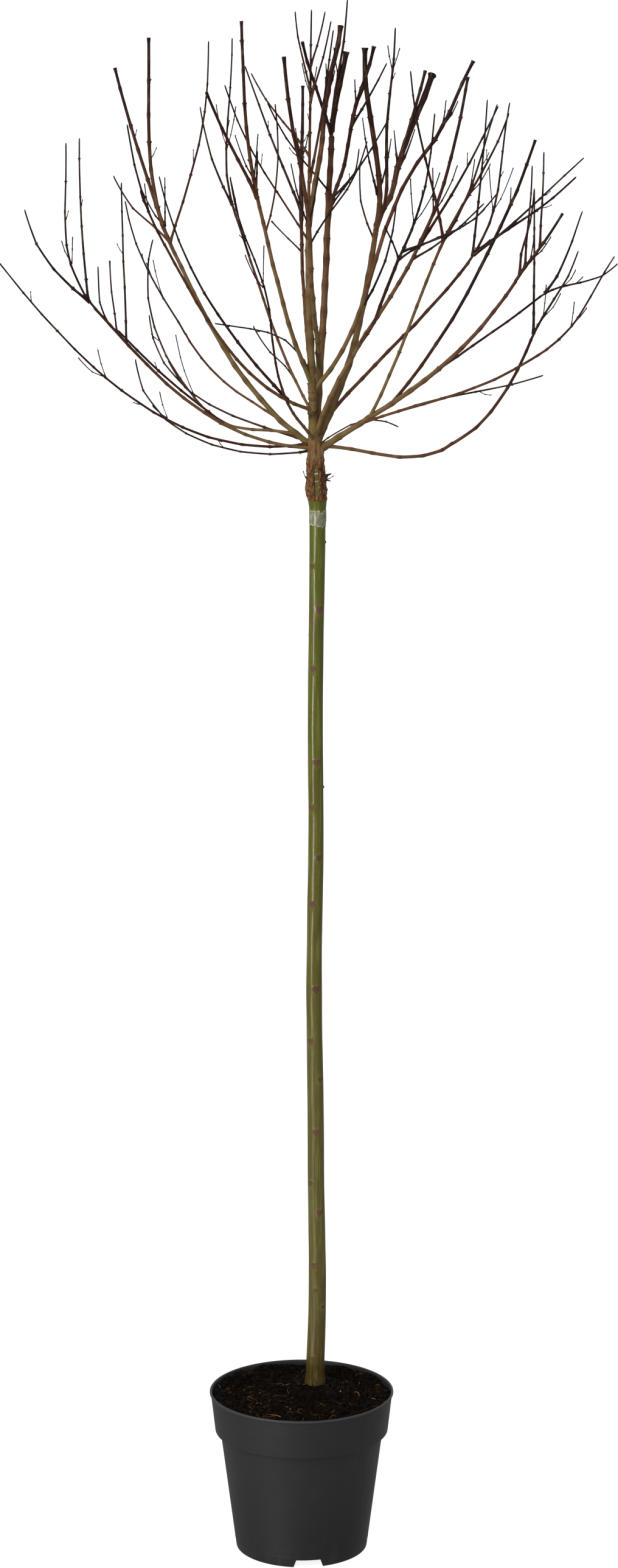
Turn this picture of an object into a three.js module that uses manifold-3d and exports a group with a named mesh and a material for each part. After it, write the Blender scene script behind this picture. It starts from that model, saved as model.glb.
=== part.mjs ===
// A bare standard tree in a nursery pot: one clean grafted stem with a head of pruned boughs,
// each ending in a mass of leafless twigs. Millimetres, +Z up, the origin under the middle of the
// pot. Every place is written as [across, back, up]: across is +X (right), back is +Y, up is +Z.
import * as THREE from "three";
import { mergeVertices } from "three/addons/utils/BufferGeometryUtils.js";
import Module from "manifold-3d";

const wasm = await Module();
wasm.setup();

// The gap left between two pieces that meet.
const clearance = 0.3;

// The pot.
const potHeight = 249;
const rimRadius = 141.5;
const wall = 1.6;
const lipHeight = 3;
const lipReach = 1.8;
const collarFoot = 187;
const collarFootRadius = 133;
const bodyTop = 185;
const bodyTopRadius = 125;
const footRadius = 101;
const footRingWidth = 9;
const floorHeight = 13;
const floorSlope = 5;
const centreDiscRadius = 30;
const potSides = 40;

// The gaps in its foot ring and the holes in its floor.
const notchCount = 3;
const notchBaseWidth = 46;
const notchTopWidth = 37;
const notchHeight = 12;
const frontNotchTurn = -84;
const drainHoleCount = 6;
const drainHoleRadius = 8;
const drainHoleCircle = 62;

// The compost.
const compostTop = 235;
const compostMound = 8;
const moundReach = 80;
const lumpHeight = 3;
const compostRings = 8;

// The stem: where its middle lies across, and how thick it is, at each height where that turns.
const stemBase = compostTop + compostMound + clearance;
const stemTop = 1724;
const stemFootBack = 50;
const stemTopBack = 10;
const stemFootAcross = 21;
const stemBends = [
  [stemBase, stemFootAcross], [394, 24.5], [620, 22], [890, 19.3], [1124, 22], [1281, 21],
  [1600, 24], [1690, 21], [stemTop, 18],
];
const stemGirths = [
  [stemBase, 33], [262, 28.5], [394, 27], [560, 25.5], [1002, 23.4], [1400, 22.6], [1606, 24],
  [1637, 29.5], [1682, 27], [1700, 27], [1714, 20],
  [stemTop, 12],
];

// Each bough: its parent and the share of the parent's length where it leaves, its tip, how many
// degrees above level it leaves and arrives, and its girths at foot and tip.
const boughs = [
  ["middle_upright", "stem", 0.997, [11, -40, 2041], 84, 96, [11.8, 7]],
  ["left_main", "stem", 0.984, [-187, 40, 1988], 36, 64, [7.8, 5]],
  ["right_main", "stem", 0.982, [312, -30, 1951], 32, 58, [8.6, 4.4]],
  ["left_low", "stem", 0.985, [-296, -110, 1918], 4, 48, [4.8, 3.8]],
  ["sweep_low", "right_main", 0.04, [225, 40, 1706], -4, 34, [5, 4.6]],
  ["sweep_high", "sweep_low", 1, [340, 60, 1858], 28, 66, [4.6, 4]],
  ["leader", "stem", 0.99, [44, 60, 2154], 80, 86, [10.4, 7.4]],
  ["back_top", "stem", 0.988, [113, 120, 2027], 48, 76, [11, 7.4]],
  ["right_back", "back_top", 0.16, [250, 150, 1965], 44, 48, [5.2, 4.4]],
  ["left_front", "middle_upright", 0.12, [-192, -210, 2015], 16, 54, [5, 3.4]],
  ["back_upright", "middle_upright", 0.17, [0, 200, 2025], 40, 84, [5, 5]],
  ["left_upright", "middle_upright", 0.24, [-60, -90, 2062], 56, 70, [6.4, 5]],
  ["back_left", "middle_upright", 0.1, [-100, 240, 2030], 34, 50, [4.2, 3.4]],
  ["left_back_low", "left_main", 0.1, [-141, 90, 1748], 10, 40, [4.4, 3.8]],
  ["left_back", "left_main", 0.18, [-176, 200, 1854], 18, 44, [3.6, 3]],
  ["front_left", "stem", 0.994, [-42, -250, 1907], 22, 72, [4.8, 2.8]],
  ["front_upright", "leader", 0.24, [13, -190, 2015], 46, 68, [7.4, 5.6]],
  ["middle_top", "middle_upright", 0.97, [33, 60, 2175], 66, 76, [7.6, 6.6]],
  ["front_top", "leader", 0.75, [71, -90, 2170], 42, 62, [5.4, 5]],
  ["right_high", "back_top", 0.96, [126, 85, 2099], 46, 98, [5, 4.8]],
  ["back_right_high", "back_top", 0.985, [140, 200, 2081], 44, 60, [7.4, 7.4]],
  ["right_upright", "middle_upright", 0.21, [180, -10, 2134], 46, 52, [6.4, 4.8]],
  ["right_front_high", "stem", 0.992, [163, -110, 1995], 70, 58, [6.4, 5]],
  ["front_right", "right_front_high", 0.5, [139, -200, 1996], 24, 40, [4.6, 4.4]],
  ["right_inner", "right_main", 0.24, [202, -60, 2002], 60, 64, [4.6, 4.2]],
  ["right_dark", "right_main", 0.34, [264, 60, 1963], 46, 60, [4.8, 4.6]],
  ["right_front_low", "right_main", 0.2, [351, -170, 1865], 20, 34, [4, 3.4]],
  ["right_back_low", "right_main", 0.56, [356, 110, 1917], 24, 28, [3.6, 3.2]],
];

// Each mass of twigs: the bough that it grows on from, the tip of its tallest twig and the angle
// above level there, that twig's girths at foot and tip (thick where it was cut back), how many
// pairs of side twigs it bears and between which shares of its length, how far they lean from it,
// how long they are for their place, which way the first pair faces, and the seed of its small
// differences.
const masses = [
  ["left_main", [-222, 60, 2296], 88, [5.2, 4.2], 1, [0.12, 0.12], 22, 0.32, 0, 3],
  ["left_low", [-332, -150, 2150], 88, [3.2, 1.6], 1, [0.3, 0.3], 20, 0.3, 10, 5],
  ["left_back_low", [-223, 170, 1994], 112, [3, 1.6], 1, [0.1, 0.1], 22, 0.4, 40, 8],
  ["left_back", [-268, 290, 2044], 76, [2.8, 1.6], 1, [0.3, 0.3], 20, 0.5, 60, 2],
  ["left_front", [-240, -260, 2180], 78, [3.2, 1.6], 1, [0.3, 0.3], 20, 0.4, 70, 4],
  ["front_left", [-96, -340, 2112], 78, [2.8, 1.6], 1, [0.25, 0.25], 20, 0.5, 30, 6],
  ["back_left", [-105, 300, 2288], 86, [3.6, 1.6], 1, [0.4, 0.4], 18, 0.4, 15, 9],
  ["left_upright", [-84, -120, 2322], 86, [4.8, 3.8], 1, [0.15, 0.15], 20, 0.3, 5, 10],
  ["right_high", [137, 60, 2307], 88, [5, 2.4], 1, [0.72, 0.72], 22, 0.6, 0, 11],
  ["back_upright", [2, 330, 2219], 84, [6.4, 3.8], 1, [0.45, 0.45], 18, 0.4, 0, 12],
  ["middle_upright", [15, -60, 2334], 86, [4.6, 1.8], 1, [0.6, 0.6], 20, 0.4, 10, 13],
  ["middle_top", [58, 120, 2312], 76, [7.4, 6.2], 1, [0.3, 0.3], 18, 0.4, 30, 14],
  ["front_upright", [-23, -290, 2276], 82, [5.4, 4.4], 1, [0.1, 0.1], 20, 0.4, 10, 15],
  ["leader", [67, 40, 2348], 88, [5.5, 2], 1, [0.45, 0.45], 20, 0.4, 0, 16],
  ["front_top", [103, -140, 2287], 72, [5.2, 4.4], 1, [0.3, 0.3], 20, 0.45, 10, 17],
  ["back_top", [94, 130, 2280], 94, [7.2, 6.4], 1, [0.15, 0.15], 20, 0.6, 10, 18],
  ["back_right_high", [198, 280, 2238], 62, [7.8, 8.6], 1, [0.12, 0.12], 20, 0.4, 20, 19],
  ["right_upright", [249, 0, 2264], 62, [5, 4.2], 1, [0.3, 0.3], 18, 0.4, 0, 20],
  ["front_right", [182, -370, 2199], 76, [3.8, 2], 1, [0.3, 0.3], 20, 0.5, 10, 21],
  ["right_front_high", [234, -190, 2246], 76, [4.8, 3.6], 1, [0.25, 0.25], 20, 0.4, 20, 22],
  ["right_back", [311, 200, 2195], 76, [3.8, 1.8], 1, [0.35, 0.35], 22, 0.5, 0, 23],
  ["right_inner", [297, -60, 2188], 72, [4.4, 2.4], 1, [0.4, 0.4], 20, 0.5, 0, 24],
  ["right_dark", [344, 80, 2148], 72, [4.8, 3.8], 1, [0.5, 0.5], 20, 0.3, 20, 25],
  ["right_main", [378, -40, 2048], 62, [4.4, 3.2], 1, [0.3, 0.3], 24, 0.7, 0, 26],
  ["right_back_low", [470, 140, 1961], 46, [3, 1.6], 1, [0.3, 0.3], 24, 0.5, 0, 27],
  ["right_front_low", [438, -230, 1997], 54, [3.2, 1.8], 1, [0.3, 0.3], 22, 0.4, 0, 28],
  ["sweep_high", [408, 80, 1983], 72, [3.6, 1.6], 1, [0.25, 0.25], 22, 0.6, 0, 29],
];

// Masses that grow straight from the stem: name, the share of the stem's length and the angle
// above level where each leaves, then the same sizes as the masses above.
const stemMasses = [
  ["far_left", 0.99, -8, [-432, -90, 1979], 52, [3.8, 2], 1, [0.6, 0.6], 30, 0.3, 0, 30],
  ["under_left", 0.984, -14, [-244, 40, 1827], 86, [2.8, 1.5], 1, [0.7, 0.7], 32, 0.4, 30, 31],
];

// Whips that stand out of a mass, each from a place on its tallest twig: the share of that twig's
// length, the angle above level where the whip leaves, its tip, the angle there, and its girths.
const whips = [
  ["left_main", 0.13, 64, [-274, 110, 2251], 70, [5, 4]],
  ["left_main", 0.04, 58, [-132, -60, 2290], 92, [3.6, 1.6]],
  ["left_main", 0.05, 40, [-276, 100, 2092], 66, [2.8, 1.5]],
  ["left_low", 0.04, 38, [-393, -120, 2055], 78, [3.2, 1.5]],
  ["left_low", 0.06, 62, [-318, -60, 2153], 96, [3.4, 1.6]],
  ["back_left", 0.06, 56, [-153, 280, 2186], 80, [3, 1.5]],
  ["left_upright", 0.04, 57, [-133, -160, 2224], 62, [4.6, 3.6]],
  ["left_upright", 0.07, 84, [-62, -110, 2137], 96, [2.6, 1.5]],
  ["middle_upright", 0.3, 50, [-71, 20, 2243], 60, [2.8, 1.5]],
  ["middle_upright", 0.17, 76, [46, -20, 2305], 82, [4.2, 1.8]],
  ["middle_upright", 0.62, 62, [-8, -100, 2332], 80, [2.6, 1.5]],
  ["middle_upright", 0.74, 66, [34, -30, 2331], 80, [2.4, 1.5]],
  ["middle_upright", 0.56, 58, [42, -120, 2319], 66, [2.8, 1.5]],
  ["back_upright", 0.05, 62, [-84, 270, 2247], 66, [4, 2.2]],
  ["leader", 0.03, 87, [66, 50, 2276], 83, [7.6, 6.8]],
  ["leader", 0.02, 54, [2, -20, 2291], 62, [4.6, 4]],
  ["front_top", 0.03, 50, [120, -130, 2261], 58, [3.6, 1.8]],
  ["front_right", 0.05, 20, [256, -220, 2063], 46, [2.8, 1.5]],
  ["right_front_high", 0.03, 56, [278, -130, 2201], 64, [4.2, 2.2]],
  ["right_inner", 0.04, 78, [156, -100, 2249], 84, [4, 2.2]],
  ["right_inner", 0.06, 50, [282, -20, 2200], 68, [3.2, 1.5]],
  ["right_back", 0.04, 82, [277, 180, 2200], 86, [3.6, 1.8]],
  ["right_back", 0.05, 36, [416, 120, 2118], 42, [3.8, 2]],
  ["right_back", 0.07, 30, [414, 260, 2083], 38, [4.4, 2.8]],
  ["right_main", 0.08, 86, [344, 100, 2073], 90, [3, 1.6]],
  ["right_main", 0.2, 86, [338, 50, 2109], 94, [2.8, 1.5]],
  ["right_main", 0.5, 86, [352, 0, 2131], 94, [2.8, 1.5]],
  ["right_back_low", 0.06, 48, [416, 120, 2039], 70, [3.2, 1.5]],
  ["sweep_high", 0.05, 94, [341, 40, 2075], 86, [3.2, 1.5]],
];

// How wood grows: the handles of a limb's curve as a share of its reach, how much thinner a side
// twig is than its tall one and its girth at the tip, how far it turns upright, how much sizes
// may differ, and the room round its tallest twig that a mass keeps to.
const handle = 0.38;
const sideTwigGirth = 0.75;
const sideTwigTip = 1.5;
const upturn = 0.55;
const difference = 0.4;
const massRoom = 150;
const crownTop = 2352;
const woodGap = 9;
const sampleStep = 8;

// How finely limbs are faceted.
const stemSides = 10;
const stemRingStep = 32;
const boughSides = 6;
const boughRingStep = 50;
const twigSides = 3;
const twigRingStep = 75;

const up = new THREE.Vector3(0, 0, 1);
const { degToRad } = THREE.MathUtils;

const materials = {
  pot: new THREE.MeshStandardMaterial({ color: 0x17191b, roughness: 0.5, metalness: 0 }),
  compost: new THREE.MeshStandardMaterial({ color: 0x1c130e, roughness: 0.95, metalness: 0 }),
  stem: new THREE.MeshStandardMaterial({ color: 0x4e5534, roughness: 0.7, metalness: 0 }),
  bough: new THREE.MeshStandardMaterial({ color: 0x6a5740, roughness: 0.75, metalness: 0 }),
  twigs: new THREE.MeshStandardMaterial({ color: 0x44281f, roughness: 0.65, metalness: 0 }),
};

// A closed geometry as a solid.
function solidOf(geometry) {
  const bare = geometry.clone();
  bare.deleteAttribute("normal");
  bare.deleteAttribute("uv");
  const merged = mergeVertices(bare, 1e-3);
  return new wasm.Manifold(
    new wasm.Mesh({
      numProp: 3,
      vertProperties: merged.attributes.position.array,
      triVerts: new Uint32Array(merged.index.array),
    }),
  );
}

// A solid as a named mesh.
function meshOf(name, solid, material) {
  const { vertProperties, triVerts } = solid.getMesh();
  const geometry = new THREE.BufferGeometry();
  geometry.setAttribute("position", new THREE.BufferAttribute(vertProperties, 3));
  geometry.setIndex(new THREE.BufferAttribute(triVerts, 1));
  geometry.computeVertexNormals();
  const mesh = new THREE.Mesh(geometry, material);
  mesh.name = name;
  return mesh;
}

// A repeatable run of numbers from 0 to 1.
function seeded(seed) {
  let state = seed;
  return () => {
    state = (Math.imul(state, 1664525) + 1013904223) >>> 0;
    return state / 2 ** 32;
  };
}

// A value from a table of turning points, easing from each to the next.
function eased(table, place) {
  const next = table.findIndex(([turn]) => turn >= place);
  if (next < 1) return table.at(next)[1];
  const [start, before] = table[next - 1];
  const [end, after] = table[next];
  const share = (place - start) / (end - start);
  return before + (after - before) * (0.5 - 0.5 * Math.cos(Math.PI * share));
}

// The stem's middle line, from the compost to its top.
class StemCurve extends THREE.Curve {
  getPoint(share, target = new THREE.Vector3()) {
    const height = stemBase + (stemTop - stemBase) * share;
    const back = stemFootBack + (stemTopBack - stemFootBack) * share;
    return target.set(eased(stemBends, height), back, height);
  }
}

// A limb's middle line, which leaves and arrives in the two given directions.
function bentCurve(start, leaving, tip, arriving) {
  const reach = handle * start.distanceTo(tip);
  const first = start.clone().addScaledVector(leaving, reach);
  const second = tip.clone().addScaledVector(arriving, -reach);
  return new THREE.CubicBezierCurve3(start, first, second, tip);
}

// The direction from one point towards another, at an angle above level.
function heading(start, tip, angle) {
  const level = tip.clone().sub(start).setZ(0).normalize();
  return level.multiplyScalar(Math.cos(degToRad(angle))).addScaledVector(up, Math.sin(degToRad(angle)));
}

const ringsAlong = (curve, ringStep) => Math.max(3, Math.round(curve.getLength() / ringStep));

// A closed tube along a curve: a cylinder bent to it, with its own girth at each ring.
function tube(curve, girthAt, sides, ringStep, growth = 0) {
  const rings = ringsAlong(curve, ringStep);
  const geometry = new THREE.CylinderGeometry(1, 1, 1, sides, rings);
  const frames = curve.computeFrenetFrames(rings, false);
  const position = geometry.attributes.position;
  for (let i = 0; i < position.count; i += 1) {
    const ring = Math.round((position.getY(i) + 0.5) * rings);
    const radius = girthAt(ring / rings) / 2 + growth;
    const point = curve.getPointAt(ring / rings);
    point.addScaledVector(frames.normals[ring], position.getX(i) * radius);
    point.addScaledVector(frames.binormals[ring], -position.getZ(i) * radius);
    if (ring === 0) point.addScaledVector(frames.tangents[ring], -growth);
    if (ring === rings) point.addScaledVector(frames.tangents[ring], growth);
    position.setXYZ(i, point.x, point.y, point.z);
  }
  return geometry;
}

// The middle of that tube between its rings, where a side twig can be rooted in it.
function middleOfTube(curve, ringStep, share) {
  const middles = curve.getSpacedPoints(ringsAlong(curve, ringStep));
  const place = share * (middles.length - 1);
  const ring = Math.min(Math.floor(place), middles.length - 2);
  return middles[ring].clone().lerp(middles[ring + 1], place - ring);
}

const taper = (foot, tip) => (share) => foot + (tip - foot) * share;
const samplesAlong = (curve) => curve.getSpacedPoints(Math.ceil(curve.getLength() / sampleStep));
const passesNear = (points, others) => points.some((p) => others.some((q) => p.distanceTo(q) < woodGap));

// The pot: a thin tapered shell with a deep collar, a raised floor and a notched foot ring.
function pot() {
  const discFoot = centreDiscRadius + floorSlope;
  const ringInside = footRadius - footRingWidth;
  const innerFloor = floorHeight + wall;
  const profile = [
    [0, 0],
    [centreDiscRadius, 0],
    [discFoot, floorHeight],
    [ringInside - floorSlope, floorHeight],
    [ringInside, 0],
    [footRadius, 0],
    [bodyTopRadius, bodyTop],
    [collarFootRadius, collarFoot],
    [rimRadius - lipReach, potHeight - lipHeight],
    [rimRadius, potHeight - lipHeight],
    [rimRadius, potHeight],
    [rimRadius - lipReach - wall, potHeight],
    [collarFootRadius - wall, collarFoot + wall],
    [bodyTopRadius - wall, bodyTop + wall],
    [footRadius, innerFloor],
    [discFoot + wall, innerFloor],
    [centreDiscRadius, wall],
    [0, wall],
  ];
  const outline = profile.map(([radius, height]) => new THREE.Vector2(radius, height));
  let solid = solidOf(new THREE.LatheGeometry(outline, potSides).rotateX(Math.PI / 2));
  for (let i = 0; i < notchCount; i += 1) {
    const turn = degToRad(frontNotchTurn + (360 / notchCount) * i);
    solid = solid.subtract(solidOf(footNotch(turn)));
  }
  for (let i = 0; i < drainHoleCount; i += 1) {
    const turn = degToRad(frontNotchTurn + (360 / drainHoleCount) * (i + 0.5));
    solid = solid.subtract(solidOf(drainHole(turn)));
  }
  return meshOf("pot", solid, materials.pot);
}

// One gap through the foot ring, narrower at its top.
function footNotch(turn) {
  const below = 1;
  const shape = new THREE.Shape();
  shape.moveTo(-notchBaseWidth / 2, -below);
  shape.lineTo(notchBaseWidth / 2, -below);
  shape.lineTo(notchTopWidth / 2, notchHeight);
  shape.lineTo(-notchTopWidth / 2, notchHeight);
  const depth = footRingWidth + 3 * floorSlope;
  const geometry = new THREE.ExtrudeGeometry(shape, { depth, bevelEnabled: false });
  return geometry.rotateX(Math.PI / 2).translate(0, footRadius + floorSlope, 0).rotateZ(turn - Math.PI / 2);
}

// One round hole through the raised floor.
function drainHole(turn) {
  const geometry = new THREE.CylinderGeometry(drainHoleRadius, drainHoleRadius, 3 * wall, 16);
  const middle = floorHeight + wall / 2;
  return geometry
    .rotateX(Math.PI / 2)
    .translate(drainHoleCircle * Math.cos(turn), drainHoleCircle * Math.sin(turn), middle);
}

// The compost: it fills the pot inside a small gap, with a lumpy top that rises round the stem.
function compost() {
  const floor = floorHeight + wall + clearance;
  const inside = wall + 2 * clearance;
  const topShare = (compostTop - collarFoot) / (potHeight - collarFoot);
  const edge = taper(collarFootRadius, rimRadius - lipReach)(topShare) - inside;
  const profile = [
    [0, floor],
    [footRadius - inside, floor],
    [bodyTopRadius - inside, bodyTop],
    [bodyTopRadius - inside, collarFoot + clearance],
    [collarFootRadius - inside, collarFoot + wall + 2 * clearance],
  ];
  for (let ring = 0; ring <= compostRings; ring += 1) {
    profile.push([edge * (1 - ring / compostRings), compostTop]);
  }
  const outline = profile.map(([radius, height]) => new THREE.Vector2(radius, height));
  const geometry = new THREE.LatheGeometry(outline, potSides).rotateX(Math.PI / 2);
  const position = geometry.attributes.position;
  for (let i = 0; i < position.count; i += 1) {
    if (position.getZ(i) < compostTop - clearance) continue;
    const [x, y] = [position.getX(i), position.getY(i)];
    const away = Math.hypot(x - stemFootAcross, y - stemFootBack);
    const near = 1 - THREE.MathUtils.smoothstep(away, stemGirths[0][1] / 2, moundReach);
    const lump = lumpHeight * Math.sin(x / 17 + 1) * Math.cos(y / 13);
    position.setZ(i, compostTop + compostMound * near + lump * (1 - near));
  }
  return meshOf("compost", solidOf(geometry), materials.compost);
}

// The stem: a slim tapering pole with a flared foot and a swollen graft under its head.
const stemCurve = new StemCurve();
const stemGirthAt = (share) => eased(stemGirths, stemBase + (stemTop - stemBase) * share);

function stem() {
  const geometry = tube(stemCurve, stemGirthAt, stemSides, stemRingStep);
  const position = geometry.attributes.position;
  for (let i = 0; i < position.count; i += 1) {
    if (position.getZ(i) < stemBase + 1) position.setZ(i, stemBase);
  }
  return meshOf("stem", solidOf(geometry), materials.stem);
}

// Everything woody that is placed so far, by name, for later limbs to grow from and keep clear of.
const wood = new Map();

function addWood(name, curve, girthAt, sides, ringStep) {
  const grown = solidOf(tube(curve, girthAt, sides, ringStep, clearance));
  wood.set(name, { curve, grown, points: samplesAlong(curve) });
}

// A limb's solid with its foot cut to fit the limbs placed before it, a small gap away.
function fitted(name, solid) {
  let cut = solid;
  for (const { grown } of wood.values()) cut = cut.subtract(grown);
  const [largest, ...scraps] = cut.decompose().sort((a, b) => b.volume() - a.volume());
  if (scraps.some((scrap) => scrap.volume() > 0.1 * largest.volume())) {
    throw new Error(name + " is crossed by another limb");
  }
  return largest;
}

// One bough: a single tapering limb.
function bough([name, parentName, at, tipPlace, leave, arrive, [foot, end]]) {
  const parent = wood.get(parentName).curve;
  const start = parent.getPointAt(at);
  if (at === 1) start.addScaledVector(parent.getTangentAt(1), clearance);
  const tip = new THREE.Vector3(...tipPlace);
  const curve = bentCurve(start, heading(start, tip, leave), tip, heading(start, tip, arrive));
  const solid = fitted(name, solidOf(tube(curve, taper(foot, end), boughSides, boughRingStep)));
  addWood(name, curve, taper(foot, end), boughSides, boughRingStep);
  return meshOf("bough_" + name, solid, materials.bough);
}

// The tallest twig of a mass that grows on from the tip of a bough.
function twigOnBough(name, tip, arrive) {
  const parent = wood.get(name).curve;
  const leaving = parent.getTangentAt(1);
  const start = parent.getPointAt(1).addScaledVector(leaving, clearance);
  return bentCurve(start, leaving, tip, heading(start, tip, arrive));
}

// The tallest twig of a mass that grows straight from the stem.
function twigOnStem(at, leave, tip, arrive) {
  const start = stemCurve.getPointAt(at);
  return bentCurve(start, heading(start, tip, leave), tip, heading(start, tip, arrive));
}

// The side twigs of a mass: opposite pairs, each a quarter turn from the pair below, which lean out
// and then turn up. One that leaves the mass's room or passes near other wood is left out.
function sideTwigs(main, pairs, [first, last], lean, length, turn, seed) {
  const random = seeded(seed);
  const mainPoints = samplesAlong(main);
  const others = [...wood.values()].filter(({ curve }) => curve !== main);
  const kept = [];
  for (let pair = 0; pair < pairs; pair += 1) {
    const share = first + (last - first) * (pairs > 1 ? pair / (pairs - 1) : 0);
    const start = middleOfTube(main, twigRingStep, share);
    const along = main.getTangentAt(share);
    const flat = new THREE.Vector3(1, 0, 0).cross(along).cross(along).negate().normalize();
    const side = flat.applyAxisAngle(along, degToRad(turn + 90 * pair));
    for (const way of [1, -1]) {
      const leanHere = degToRad(lean * (1 + difference * (random() - 0.5)));
      const lengthHere = main.getLength() * (1 - share) * length * (1 - difference * random());
      const leaving = along.clone().applyAxisAngle(side.clone().cross(along).normalize(), -way * leanHere);
      const arriving = leaving.clone().lerp(up, upturn).normalize();
      const tip = start.clone().addScaledVector(leaving.clone().add(arriving).normalize(), lengthHere);
      const curve = bentCurve(start, leaving, tip, arriving);
      const points = samplesAlong(curve);
      const inRoom = tip.z < crownTop && mainPoints.some((p) => p.distanceTo(tip) < massRoom);
      const blocked = others.some((other) => passesNear(points.slice(2), other.points));
      if (inRoom && !blocked) kept.push({ share, curve });
    }
  }
  return kept;
}

// The tallest twigs of all the masses are placed first, so that later twigs can keep clear of them.
function placeMass(name, main, [foot, end], rule) {
  const girthAt = taper(foot, end);
  const solid = fitted(name, solidOf(tube(main, girthAt, twigSides, twigRingStep)));
  addWood("twigs_" + name, main, girthAt, twigSides, twigRingStep);
  placed.set(name, { main, girthAt, solid, rule });
}

// Grows one more twig or whip on a mass's solid.
function joinTwig(mass, curve, girthAt) {
  mass.solid = mass.solid.add(solidOf(tube(curve, girthAt, twigSides, twigRingStep)));
  wood.set("joined_" + wood.size, { curve, points: samplesAlong(curve) });
}

const group = new THREE.Group();
group.add(pot(), compost(), stem());
addWood("stem", stemCurve, stemGirthAt, stemSides, stemRingStep);
for (const row of boughs) group.add(bough(row));

const placed = new Map();
for (const [name, tipPlace, arrive, girths, ...rule] of masses) {
  placeMass(name, twigOnBough(name, new THREE.Vector3(...tipPlace), arrive), girths, rule);
}
for (const [name, at, leave, tipPlace, arrive, girths, ...rule] of stemMasses) {
  placeMass(name, twigOnStem(at, leave, new THREE.Vector3(...tipPlace), arrive), girths, rule);
}
for (const [name, share, leave, tipPlace, arrive, [foot, end]] of whips) {
  const mass = placed.get(name);
  const start = middleOfTube(mass.main, twigRingStep, share);
  const tip = new THREE.Vector3(...tipPlace);
  const curve = bentCurve(start, heading(start, tip, leave), tip, heading(start, tip, arrive));
  joinTwig(mass, curve, taper(foot, end));
}
for (const [name, mass] of placed) {
  for (const { share, curve } of sideTwigs(mass.main, ...mass.rule)) {
    joinTwig(mass, curve, taper(mass.girthAt(share) * sideTwigGirth, sideTwigTip));
  }
  group.add(meshOf("twigs_" + name, mass.solid, materials.twigs));
}

export default group;
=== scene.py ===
# A bare standard tree in a nursery pot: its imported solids, dressed in their real surfaces.
# Metres, +Z up, +X right, the origin under the middle of the pot, seen from -Y.
import math

import bmesh
import bpy
import numpy as np
from mathutils import Matrix, Vector, noise


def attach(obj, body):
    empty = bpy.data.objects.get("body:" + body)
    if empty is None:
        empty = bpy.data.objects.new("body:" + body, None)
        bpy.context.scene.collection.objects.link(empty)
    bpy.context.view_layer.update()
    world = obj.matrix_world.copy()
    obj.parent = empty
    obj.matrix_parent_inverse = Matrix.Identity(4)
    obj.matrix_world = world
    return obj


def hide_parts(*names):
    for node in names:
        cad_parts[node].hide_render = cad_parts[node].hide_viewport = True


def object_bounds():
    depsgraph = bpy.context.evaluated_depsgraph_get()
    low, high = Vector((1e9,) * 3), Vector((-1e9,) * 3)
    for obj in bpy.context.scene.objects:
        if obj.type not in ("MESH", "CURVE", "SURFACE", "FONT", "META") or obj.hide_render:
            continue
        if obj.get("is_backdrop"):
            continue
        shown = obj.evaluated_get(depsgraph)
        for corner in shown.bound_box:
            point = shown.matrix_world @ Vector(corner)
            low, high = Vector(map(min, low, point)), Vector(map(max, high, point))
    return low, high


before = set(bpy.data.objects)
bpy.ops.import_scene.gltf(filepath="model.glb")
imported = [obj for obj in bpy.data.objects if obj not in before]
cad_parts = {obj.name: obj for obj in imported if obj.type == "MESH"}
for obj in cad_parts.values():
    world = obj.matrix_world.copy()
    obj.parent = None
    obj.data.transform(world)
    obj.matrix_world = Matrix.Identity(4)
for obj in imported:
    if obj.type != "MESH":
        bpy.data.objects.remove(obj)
packed_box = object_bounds()


# The standpoint
# The whole tree from the front, looking slightly down from a little above its head.
head_middle = 0.0115
tree_middle = 1.2
standpoint = bpy.data.objects.new("standpoint", bpy.data.cameras.new("standpoint"))
bpy.context.scene.collection.objects.link(standpoint)
standpoint.location = (head_middle, -6.0, 2 * tree_middle)
aim = Vector((head_middle, 0.0, tree_middle))
standpoint.rotation_euler = (aim - standpoint.location).to_track_quat("-Z", "Y").to_euler()
standpoint.data.sensor_width = 36
standpoint.data.lens = 94.06
bpy.context.scene.camera = standpoint


# Light and floor
# A white floor that runs out of sight, an even white room, a wide soft lamp, a small low one at
# the front left that draws the gloss on the stem, and two faint ones that open the shadows.
def paint(red, green, blue):
    """A colour as the eye reads it, 0 to 255, as a shader wants it."""
    return tuple((part / 255) ** 2.2 for part in (red, green, blue)) + (1.0,)


# Each lamp's strength, its spread in degrees and the way its light goes.
lamps = {
    "key_lamp": (1.5, 40, (0.6, 0.72, -0.75)),
    "strip_lamp": (0.85, 8, (0.62, 0.76, 0.2)),
    "fill_lamp": (0.25, 70, (-0.8, 0.7, -0.35)),
    "back_lamp": (0.35, 60, (-0.25, -0.9, -0.6)),
}
room_strength = 0.34
floor_glow = 0.88
floor_half = 300

bpy.context.scene.view_settings.view_transform = "Standard"
for name, (strength, spread, light_way) in lamps.items():
    lamp = bpy.data.lights.new(name, "SUN")
    lamp.energy = strength
    lamp.angle = math.radians(spread)
    holder = bpy.data.objects.new(name, lamp)
    holder.rotation_euler = Vector(light_way).to_track_quat("-Z", "Y").to_euler()
    bpy.context.scene.collection.objects.link(holder)
room = bpy.data.worlds.new("room")
room.use_nodes = True
room.node_tree.nodes["Background"].inputs["Color"].default_value = (1, 1, 1, 1)
room.node_tree.nodes["Background"].inputs["Strength"].default_value = room_strength
bpy.context.scene.world = room

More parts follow.
